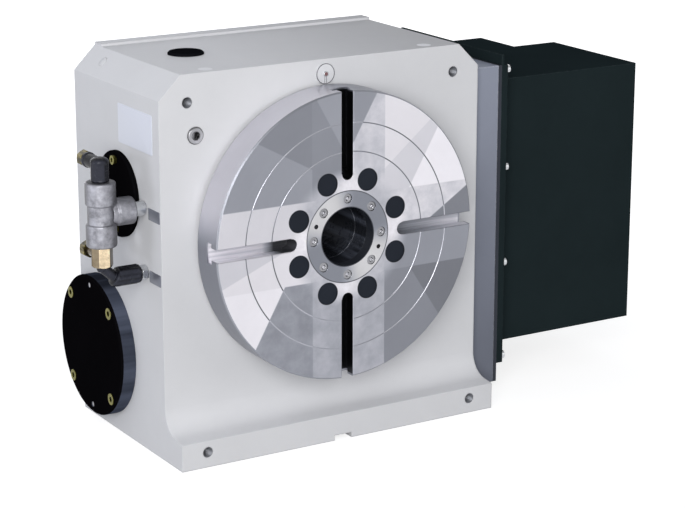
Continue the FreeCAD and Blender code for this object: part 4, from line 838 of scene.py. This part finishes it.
class ROTARY_OT_table(bpy.types.Operator):
    """Gives the slotted table its ground face, and its ring, caps and bore their own finishes"""

    bl_idname = "rotary_table.table"
    bl_label = "Table face"

    def execute(self, context):
        c = context.scene.rotary_table_colours
        dress(context, "ground_steel")
        clothe(finish("turned_ring", c.bright, metal=1.0, rough=0.33, spread=0.05, tone=0.04, grain=2200.0,
                      height=0.000006, edge=(236, 236, 238), edge_share=0.6, bevel=0.0005, rings=True,
                      step=ring_painted_highlights(c.bore)), "centre_ring")
        # The spindle is darkened as painted shade in its bore, with streaked painted highlight along it.
        clothe(finish("bore_steel", c.bore, metal=0.35, rough=0.3, tone=0.2, grain=1500.0, height=0.000008,
                      edge=(150, 152, 158), edge_share=0.6, bevel=0.0005, shine=0.1,
                      step=painted_streaks((70, 5, 70), 0.48, 0.7, 0.7, 4.0)), "spindle")
        clothe(finish("cap_black", c.cap, rough=0.5, tone=0.1, grain=1500.0, height=0.00001,
                      edge=(70, 74, 84), edge_share=0.4, bevel=0.0005, shine=0.08), "bolt_caps")
        return {"FINISHED"}


class ROTARY_OT_covers(bpy.types.Operator):
    """Finishes the black covers, plugs and the motor"""

    bl_idname = "rotary_table.covers"
    bl_label = "Covers and motor"

    def execute(self, context):
        dress(context, "black_paint", "cover_black", "black_plastic", "motor_paint", "motor_alloy")
        clothe(finish("plug_black", tint(17, 18, 21), rough=0.5, tone=0.1, grain=1400.0, edge=(52, 54, 60),
                      edge_share=0.4, bevel=0.0008, shine=0.0), "top_plug")
        return {"FINISHED"}


class ROTARY_OT_metal(bpy.types.Operator):
    """Finishes screws, rings, shafts, gears and seals"""

    bl_idname = "rotary_table.metal"
    bl_label = "Metal parts"

    def execute(self, context):
        dress(context, "bright_steel", "dark_steel", "white_zinc", "yellow_zinc", "brass", "dark_brass",
              "cast_grey", "wheel_bronze", "seal_rubber")
        c = context.scene.rotary_table_colours
        low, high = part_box("oil_plug")
        # The oil plug's inner step and one side of its socket are painted shade.
        plug_shading = plug_lands_and_shade((low.x + high.x) / 2, (low.z + high.z) / 2)
        for name, step, nodes in (("plug_zinc", None, ("ring_screws", "worm_cover_jacks")),
                                  ("oil_zinc", plug_shading, ("oil_plug",))):
            clothe(finish(name, c.plug, metal=1.0, rough=0.36, tone=0.16, height=0.00001,
                          edge=(232, 233, 235), edge_share=0.7, bevel=0.0008, step=step), *nodes)
        return {"FINISHED"}


class ROTARY_OT_fittings(bpy.types.Operator):
    """Builds the air fittings: tee, nipples, elbows, connector and tube nuts"""

    bl_idname = "rotary_table.fittings"
    bl_label = "Air fittings"

    def execute(self, context):
        self.made = finishes(context)
        self.size = context.scene.rotary_table_sizes
        half = (TEE_HIGH.z - TEE_LOW.z) / 2
        collar = (TEE_HIGH.y - TEE_LOW.y) / 2
        x, depth, mid = TEE_LOW.x + collar, (TEE_HIGH.y + TEE_LOW.y) / 2, (TEE_HIGH.z + TEE_LOW.z) / 2
        self.tee((x, depth, mid), half, collar)
        self.upper_nipple((x, depth, mid))
        self.upper_elbow(x, depth, mid + half)
        self.connector(x, depth, mid - half)
        self.lower_elbow(x, depth)
        return {"FINISHED"}

    def fit(self, piece, slot, *nodes, body="base"):
        """Settles a piece with the finish of its slot."""
        settle(piece, self.made[slot], slot, *nodes, body=body)

    def tube_nut(self, node, x, body="base"):
        """Hexagon over the tube at the end of an outlet."""
        low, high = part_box(node)
        across, bore = 0.016, 0.0040
        grip = nut(node + "_hex", "Y", (x, 0, (low.z + high.z) / 2), low.y, high.y, across, bore)
        self.fit(grip, "dark_brass", node, body=body)

    def tee(self, centre, half, collar):
        """Upright run with two collars and a waist, and a branch toward the wall."""
        mouth, chamfer, fillet, waist = 0.0066, 0.0014, 0.0005, 0.0145
        run = [(-half, mouth), (-half, collar - chamfer), (-half + chamfer, collar), (-half + 0.0232, collar),
               (-half + 0.0244, collar - fillet), (-half + 0.0252, waist)]
        mirrored = [(-along, radius) for along, radius in run[::-1]]
        body = lathe("tee_run", "Z", centre, rounded(run + mirrored, 0.0007, 6), sharp=40)
        self.fit(body, "cast_grey", "tee_fitting")
        end = TEE_HIGH.x - centre[0]
        neck, arm = 0.0128, 0.0150
        branch = [(0.0095, 0), (0.0095, neck), (0.0150, neck + 0.0002), (0.0168, arm), (end - 0.0012, arm),
                  (end, arm - 0.0010), (end, 0.0056)]
        self.fit(lathe("tee_branch", "X", centre, rounded(branch, 0.0008, 6), sharp=40), "cast_grey")

    def upper_nipple(self, centre):
        """Threaded shank from the tee into the wall, with a plain barrel round its middle."""
        x = centre[0]
        low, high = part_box("upper_nipple")
        shank = threaded_tube("upper_nipple_shank", centre, low.x - x, high.x - x, 180, self.size)
        self.fit(shank, "white_zinc", "upper_nipple")
        start, end = TEE_HIGH.x - x + 0.0004, WALL - x - 0.0010
        inner, shoulder, barrel = 0.0053, 0.0072, 0.0080
        grip = rounded([(start, inner), (start, shoulder), (start + 0.0010, barrel), (end - 0.0012, barrel),
                        (end, shoulder), (end, inner)], 0.0006)
        self.fit(lathe("upper_nipple_barrel", "X", centre, grip, 64), "white_zinc")

    def upper_elbow(self, x, depth, top):
        """Upright barrel with eight facets and a domed top, and a round outlet toward the back with its tube
        nut. The dome's radius is a power of the cosine and its height the sine of one angle."""
        low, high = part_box("upper_elbow")
        nut_low, nut_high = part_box("upper_tube_nut")
        rise = (nut_low.z + nut_high.z) / 2
        barrel, neck, crown, blunt = high.x - x, 0.0064, 0.0055, 0.7
        foot, shoulder = top + 0.0014, high.z - 0.0058
        turn = np.linspace(0, np.pi / 2, 12)
        dome = np.stack([high.z - crown + crown * np.sin(turn), barrel * np.cos(turn) ** blunt], 1)
        stem = rounded([(low.z, 0), (low.z, neck), (top + 0.0002, neck), (top + 0.0002, barrel - 0.0012),
                        (foot, barrel), (shoulder, barrel)], 0.0003)
        profile = np.vstack([stem[:-1], straight(foot, shoulder, 24, barrel), dome])
        facets = ripples(8, 0.00025, foot, high.z - 0.0056, lower=1)
        body = lathe("upper_elbow_barrel", "Z", (x, depth, 0), profile, 96, facets)
        self.fit(body, "black_plastic", "upper_elbow", body="air_elbow")
        seat, tube, collar, bore = nut_low.y, 0.0075, 0.0084, 0.0030
        outlet = rounded([(depth, 0), (depth, tube), (seat - 0.0052, tube), (seat - 0.0044, collar),
                          (seat - 0.0006, collar), (seat, 0.0078), (seat, bore), (seat - 0.006, bore),
                          (seat - 0.006, 0)], 0.0004)
        arm = lathe("upper_elbow_outlet", "Y", (x, 0, rise), outlet, 64)
        self.fit(arm, "black_plastic", body="air_elbow")
        self.tube_nut("upper_tube_nut", x, "air_elbow")

    def connector(self, x, depth, foot):
        """Brass hexagon with its neck, its side outlet and the outlet's tube nut."""
        nut_low, nut_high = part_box("side_tube_nut")
        rise = (nut_low.z + nut_high.z) / 2
        tube, neck, bore = 0.0065, 0.0058, 0.003
        across_flats, height, turn = 0.0205, 0.022, math.radians(20)
        body = nut("connector_hex", "Z", (x, depth, 0), foot - height, foot, across_flats, bore, turn)
        self.fit(body, "brass", "brass_connector")
        bend, end = depth + 0.012, nut_low.y + 0.002
        outlet = rounded([(depth, 0), (depth, tube), (bend, tube), (bend + 0.0015, neck), (end, neck),
                          (end, bore), (bend, bore), (bend, 0)], 0.0005)
        self.fit(lathe("connector_outlet", "Y", (x, 0, rise), outlet, 48), "brass")
        tip, root = foot - 0.0245, foot - 0.021
        stem = rounded([(tip, 0), (tip, 0.0052), (root, 0.0056), (root, 0)], 0.0004)
        self.fit(lathe("connector_stem", "Z", (x, depth, 0), stem, 48), "brass")
        self.tube_nut("side_tube_nut", x)

    def lower_elbow(self, x, depth):
        """Slanting neck from under the connector into a faceted barrel at the wall, with a threaded nipple.
        The facets are a cosine of eight times the angle, added to the barrel's radius."""
        low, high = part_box("lower_elbow")
        axis = low.z + 0.011
        face = x + 0.0125
        corners = rounded([(x, high.z), (x + 0.0006, high.z - 0.0022), (face + 0.0010, axis), (high.x, axis)],
                          0.004, 9)
        passed = distances(corners)
        total = passed[-1]
        run = np.linspace(0, total, 110)
        across, upright = np.interp(run, passed, corners[:, 0]), np.interp(run, passed, corners[:, 1])
        path = np.stack([across, np.full_like(run, depth), upright], 1)
        neck = np.interp(face, across, run)
        collar, tube, barrel = 0.0070, 0.0058, 0.0104
        outline = np.array([
            (0, 0.0062), (0.0008, collar), (0.0022, collar), (0.0030, tube), (neck - 0.0002, tube),
            (neck + 0.0002, 0.0094), (neck + 0.0012, barrel), (total - 0.0040, barrel),
            (total - 0.0012, 0.0098), (total, 0.0084)])
        radius = np.concatenate([[0], np.interp(run, *outline.T), [0]])
        way = np.vstack([path[:1], path, path[-1:]])
        tiny = 1e-5
        way[0, 2] += tiny
        way[-1, 0] += tiny
        facets = ripples(8, 0.0006, neck + 0.001, total - 0.002, rise=0.002)
        body = swept("lower_elbow_body", way, radius, (0, 1, 0), 64, facets)
        self.fit(body, "black_plastic", "lower_elbow")
        low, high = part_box("lower_nipple")
        centre = (0, depth, axis)
        shank = threaded_tube("lower_nipple_shank", centre, low.x, high.x, 150, self.size)
        self.fit(shank, "white_zinc", "lower_nipple")
        across_flats, bore = 0.0150, 0.0053
        grip = nut("lower_nipple_hex", "X", centre, WALL - 0.0078, WALL - 0.0002, across_flats, bore)
        self.fit(grip, "white_zinc")


class ROTARY_OT_plates(bpy.types.Operator):
    """Adds the bare label, the two bare tags and the painted plug on the left side"""

    bl_idname = "rotary_table.plates"
    bl_label = "Bare plates"

    tags = {"upper_tag": (0.0635, 0.0355), "lower_tag": (0.0640, -0.0335)}
    plug_place = (-0.1855, 0.211, 0.1755)
    plug_across, plug_height = 0.012, 0.0005
    label_corner, tag_corner, rim = 0.0015, 0.001, 0.0003

    def execute(self, context):
        size = context.scene.rotary_table_sizes
        c = context.scene.rotary_table_colours
        white = finish("label_white", c.plate, rough=0.35, tone=0.02, grain=1500.0, height=0.000006,
                       edge=(150, 152, 158), edge_share=0.7, bevel=0.0003)
        grey = finish("tag_grey", c.tag, metal=0.6, rough=0.4, tone=0.1, grain=1500.0, height=0.000008,
                      edge=(190, 192, 198), edge_share=0.6, bevel=0.0003)
        back = WALL - 0.00005
        right, up = (0, -1, 0), (0, 0, 1)
        middle = (back, size.label_front + size.label_width / 2, size.label_low + size.label_height / 2)
        label = plate("bare_label", middle, right, up, size.label_width, size.label_height,
                      size.plate_thickness, self.label_corner, self.rim)
        settle(label, white, "motor_alloy")
        for name, (y, z) in self.tags.items():
            tag = plate(name, (back, y, z), right, up, size.tag_width, size.tag_height,
                        size.plate_thickness, self.tag_corner, self.rim)
            settle(tag, grey, "motor_alloy")
        slant = math.sqrt(0.5)
        disc = plate("painted_plug", self.plug_place, right, (slant, 0, slant), self.plug_across,
                     self.plug_across, self.plug_height, self.plug_across / 2, self.rim)
        settle(disc, finishes(context)["casting_paint"], "casting_paint")
        return {"FINISHED"}


class ROTARY_OT_zero_mark(bpy.types.Operator):
    """Adds the ring, the dot and the index lines of the zero mark"""

    bl_idname = "rotary_table.zero_mark"
    bl_label = "Zero mark"

    def execute(self, context):
        c = context.scene.rotary_table_colours
        clothe(finish("mark_white", tint(228, 228, 231), metal=0.25, rough=0.4, tone=0.05, grain=1500.0,
                      edge=(150, 150, 155), edge_share=0.6, bevel=0.0004), "zero_mark_disc")
        dark = finish("mark_grey", tint(104, 104, 110), rough=0.5, tone=0.1, grain=1500.0, edge=(90, 90, 94),
                      bevel=0.0002)
        brown = finish("mark_brown", c.mark, rough=0.4, tone=0.1, grain=1500.0, edge=(168, 132, 132),
                       bevel=0.0002)
        x, z = (DISC_LOW.x + DISC_HIGH.x) / 2, (DISC_LOW.z + DISC_HIGH.z) / 2
        face = DISC_LOW.y
        edge = (DISC_HIGH.x - DISC_LOW.x) / 2
        sunk, proud = face + 0.0003, face - 0.00012
        ring = lathe("zero_ring", "Y", (x, 0, z), [
            (sunk, edge - 0.0011), (proud, edge - 0.0010), (proud, edge - 0.0003), (sunk, edge - 0.0002),
            (sunk, edge - 0.0011)])
        settle(ring, dark, "dark_steel")
        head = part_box("zero_mark_screw")[0].y
        radius = 0.0021
        dot = lathe("zero_dot", "Y", (x, 0, z), [
            (head + 0.0004, 0), (head + 0.0004, radius), (head - 0.0001, radius), (head - 0.0003, 0.0015),
            (head - 0.0004, 0)], 40)
        settle(dot, brown, "white_zinc")
        low, high = z - edge + 0.0012, z - 0.0034
        apart, width, thickness, corner, rim = 0.0011, 0.0005, 0.00018, 0.0002, 0.00008
        for name, way in (("zero_line_left", -1), ("zero_line_right", 1)):
            middle = (x + way * apart, face + 0.00005, (low + high) / 2)
            line = plate(name, middle, (1, 0, 0), (0, 0, 1), width, high - low, thickness, corner, rim)
            settle(line, dark, "dark_steel")
        return {"FINISHED"}


class ROTARY_OT_gland(bpy.types.Operator):
    """Builds the cable gland with a fluted cap over its hexagon"""

    bl_idname = "rotary_table.gland"
    bl_label = "Cable gland"

    def execute(self, context):
        black = finishes(context)["black_plastic"]
        centre = ((GLAND_LOW.x + GLAND_HIGH.x) / 2, 0, (GLAND_LOW.z + GLAND_HIGH.z) / 2)
        start, back = GLAND_LOW.y, GLAND_HIGH.y
        seat = back - 0.020
        bore, stem, cap = 0.006, 0.0098, 0.0113
        nose = [(back - 0.002, 0.0104), (back - 0.0006, 0.0086), (back, 0.0076), (back - 0.0004, 0.0064)]
        profile = np.vstack([
            [(start, bore), (start, stem), (seat, stem), (seat + 0.0082, stem)],
            [(seat + 0.0084, cap - 0.0001)],
            straight(seat + 0.0088, back - 0.004, 12, cap),
            nose,
            [(back - 0.003, bore), (start, bore)],
        ])
        flutes = ripples(18, 0.0005, seat + 0.0095, back - 0.0045)
        settle(lathe("gland_cap", "Y", centre, profile, 144, flutes), black, "black_plastic", "cable_gland")
        across_flats, hex_bore, height = 0.026, 0.0097, 0.008
        grip = nut("gland_hex", "Y", centre, seat, seat + height, across_flats, hex_bore)
        settle(grip, black, "black_plastic")
        return {"FINISHED"}


class ROTARY_OT_threads(bpy.types.Operator):
    """Cuts threads into the tapped holes of the front face and the foot"""

    bl_idname = "rotary_table.threads"
    bl_label = "Tapped threads"

    mouth, depth = 0.0009, 0.0190
    pitch, ridge = 0.00175, 0.0008
    play, wall = 0.00002, 0.00015

    def execute(self, context):
        c = context.scene.rotary_table_colours
        bare = finish("bare_thread", c.tapped, metal=0.5, rough=0.4, tone=0.12, grain=1500.0, height=0.00001,
                      edge=(196, 198, 202), bevel=0.0003)
        mounts = {item["name"]: item for item in frame["record"]["mounts"]}
        for name in ("front_face_taps", "foot_taps"):
            x, y, z = mounts[name]["pos_m"]
            half = mounts[name]["dims"]["spacing_x_mm"] / 2000
            radius = mounts[name]["dims"]["hole_r_mm"] / 1000
            outer, inner = radius - self.play, radius - self.wall
            profile = np.vstack([
                [(self.mouth, outer)],
                straight(self.mouth + 0.0003, self.depth - 0.0005, 130, inner),
                [(self.depth, outer), (self.mouth, outer)],
            ])
            cut = thread(0.001, self.depth, self.pitch, self.ridge)
            for side, way in (("left", -1), ("right", 1)):
                piece = lathe(f"{name}_{side}", "Y", (x + way * half, y, z), profile, 64, cut)
                settle(piece, bare, "dark_steel")
        return {"FINISHED"}


class ROTARY_OT_stage(bpy.types.Operator):
    """Sets the floor, the white surround, the soft lights and the camera"""

    bl_idname = "rotary_table.stage"
    bl_label = "Stage"

    white, cool = (1, 1, 1), (0.93, 0.97, 1.08)
    # Name, place, size, power and colour of each lamp
    lamps = (
        ("key", (-1.7, -2.4, 1.0), 1.9, 76, white),
        ("fill", (2.4, -1.6, 0.5), 2.2, 13, white),
        ("side", (-2.6, 0.25, 0.25), 0.7, 7.5, cool),
        ("crown", (-1.2, 0.9, 1.2), 1.2, 2.5, cool),
        ("back", (0.4, 2.8, 0.3), 2.2, 21, (0.96, 0.98, 1.04)),
    )
    camera_place = (-1.19876, -1.97452, 0.62586)
    camera_yaw, camera_pitch = -0.5432, -0.2726
    sensor_width = 36
    room_level, room_hue = 0.36, (0.95, 0.98, 1.05, 1)

    def execute(self, context):
        scene = context.scene
        scene.view_settings.view_transform = "Standard"
        self.surround(scene)
        self.floor()
        for lamp in self.lamps:
            self.lamp(*lamp)
        lens = bpy.data.cameras.new("camera")
        lens.sensor_width = self.sensor_width
        lens.lens = scene.rotary_table_sizes.lens
        level = math.cos(self.camera_pitch)
        ahead = Vector((-math.sin(self.camera_yaw) * level, math.cos(self.camera_yaw) * level,
                        math.sin(self.camera_pitch)))
        scene.camera = self.aimed("camera", lens, self.camera_place, ahead)
        return {"FINISHED"}

    def aimed(self, name, data, place, ahead):
        """A lamp or camera at a place, looking along a direction with its top up."""
        item = bpy.data.objects.new(name, data)
        bpy.context.scene.collection.objects.link(item)
        item.location = place
        item.rotation_mode = "QUATERNION"
        item.rotation_quaternion = ahead.to_track_quat("-Z", "Y")
        return item

    def lamp(self, name, place, size, power, hue):
        """A square soft lamp that looks at the middle of the object."""
        data = bpy.data.lights.new(name, "AREA")
        data.shape = "SQUARE"
        data.size = size
        data.energy = power
        data.color = hue
        self.aimed(name, data, place, (cad_box[0] + cad_box[1]) / 2 - Vector(place))

    def surround(self, scene):
        """White to the camera; mirrors and glass see it white behind the object and dimmer on the side of
        the room; everything else gets a plain level of light."""
        world = bpy.data.worlds.new("surround")
        scene.world = world
        world.use_nodes = True
        tree = Tree(world.node_tree)
        world.node_tree.nodes.clear()
        path = tree.add("ShaderNodeLightPath").outputs
        where = tree.add("ShaderNodeTexCoord").outputs["Generated"]
        depth = tree.add("ShaderNodeSeparateXYZ", {0: where}).outputs["Y"]
        mirrored = tree.ramp(depth, -0.35, 0.45, 0.5, 1.0, True)
        glossy = tree.math("MAXIMUM", path["Is Glossy Ray"], path["Is Transmission Ray"])
        level = tree.pick(path["Is Camera Ray"], tree.pick(glossy, self.room_level, mirrored), 1.0)
        seen = tree.math("MAXIMUM", path["Is Camera Ray"], glossy)
        hue = tree.blend(seen, self.room_hue, (*self.white, 1))
        light = tree.add("ShaderNodeBackground", {"Color": hue, "Strength": level})
        tree.add("ShaderNodeOutputWorld", {0: light.outputs[0]})

    def floor(self):
        """A pale disc under the object; it shines a little to the camera so that it meets the surround."""
        radius, angle = np.meshgrid([0, 0.6, 1.5, 4, 12.0], turns(64), indexing="ij")
        level = cad_box[0].z - 0.0002
        ground = surface("floor", about("Z", (0, 0, 0), np.full_like(radius, level), angle, radius))
        if ground.data.polygons[0].normal.z < 0:
            ground.data.flip_normals()
        material = bpy.data.materials.new("floor_white")
        material.use_nodes = True
        tree = Tree(material.node_tree)
        material.node_tree.nodes.clear()
        where = tree.add("ShaderNodeTexCoord").outputs["Object"]
        far = tree.add("ShaderNodeVectorMath", {0: where}, operation="LENGTH").outputs["Value"]
        depth = tree.add("ShaderNodeSeparateXYZ", {0: where}).outputs["Y"]
        path = tree.add("ShaderNodeLightPath").outputs
        mirrored = tree.times(path["Is Glossy Ray"], tree.ramp(depth, -0.8, 0.6, 0.62, 1.0, True))
        seen = tree.math("MAXIMUM", path["Is Camera Ray"], mirrored)
        glow = tree.times(tree.ramp(far, 0.5, 1.3, 0.78, 1.0, True), seen)
        plain = tree.add("ShaderNodeBsdfDiffuse", {"Color": (0.42, 0.42, 0.42, 1)})
        shine = tree.add("ShaderNodeEmission", {"Color": (*self.white, 1), "Strength": glow})
        both = tree.add("ShaderNodeAddShader", {0: plain.outputs[0], 1: shine.outputs[0]})
        tree.add("ShaderNodeOutputMaterial", {0: both.outputs[0]})
        ground.data.materials.append(material)


OPERATORS = (
    ROTARY_OT_castings,
    ROTARY_OT_table,
    ROTARY_OT_covers,
    ROTARY_OT_metal,
    ROTARY_OT_fittings,
    ROTARY_OT_plates,
    ROTARY_OT_zero_mark,
    ROTARY_OT_gland,
    ROTARY_OT_threads,
    ROTARY_OT_stage,
)


class ROTARY_PT_panel(bpy.types.Panel):
    """Lists the operators and the values that they read"""

    bl_label = "Rotary table"
    bl_idname = "ROTARY_PT_panel"
    bl_space_type = "VIEW_3D"
    bl_region_type = "UI"
    bl_category = "Rotary table"

    def draw(self, context):
        for operator in OPERATORS:
            self.layout.operator(operator.bl_idname)
        for values in (context.scene.rotary_table_sizes, context.scene.rotary_table_colours):
            column = self.layout.column()
            for name in values.__annotations__:
                column.prop(values, name)


CLASSES = (RotaryTableColours, RotaryTableSizes, *OPERATORS, ROTARY_PT_panel)


def register():
    for item in CLASSES:
        bpy.utils.register_class(item)
    bpy.types.Scene.rotary_table_colours = PointerProperty(type=RotaryTableColours)
    bpy.types.Scene.rotary_table_sizes = PointerProperty(type=RotaryTableSizes)


def unregister():
    del bpy.types.Scene.rotary_table_sizes
    del bpy.types.Scene.rotary_table_colours
    for item in reversed(CLASSES):
        bpy.utils.unregister_class(item)


def main():
    register()
    bpy.ops.rotary_table.castings()
    bpy.ops.rotary_table.table()
    bpy.ops.rotary_table.covers()
    bpy.ops.rotary_table.metal()
    bpy.ops.rotary_table.fittings()
    bpy.ops.rotary_table.plates()
    bpy.ops.rotary_table.zero_mark()
    bpy.ops.rotary_table.gland()
    bpy.ops.rotary_table.threads()
    bpy.ops.rotary_table.stage()


if __name__ == "__main__":
    main()
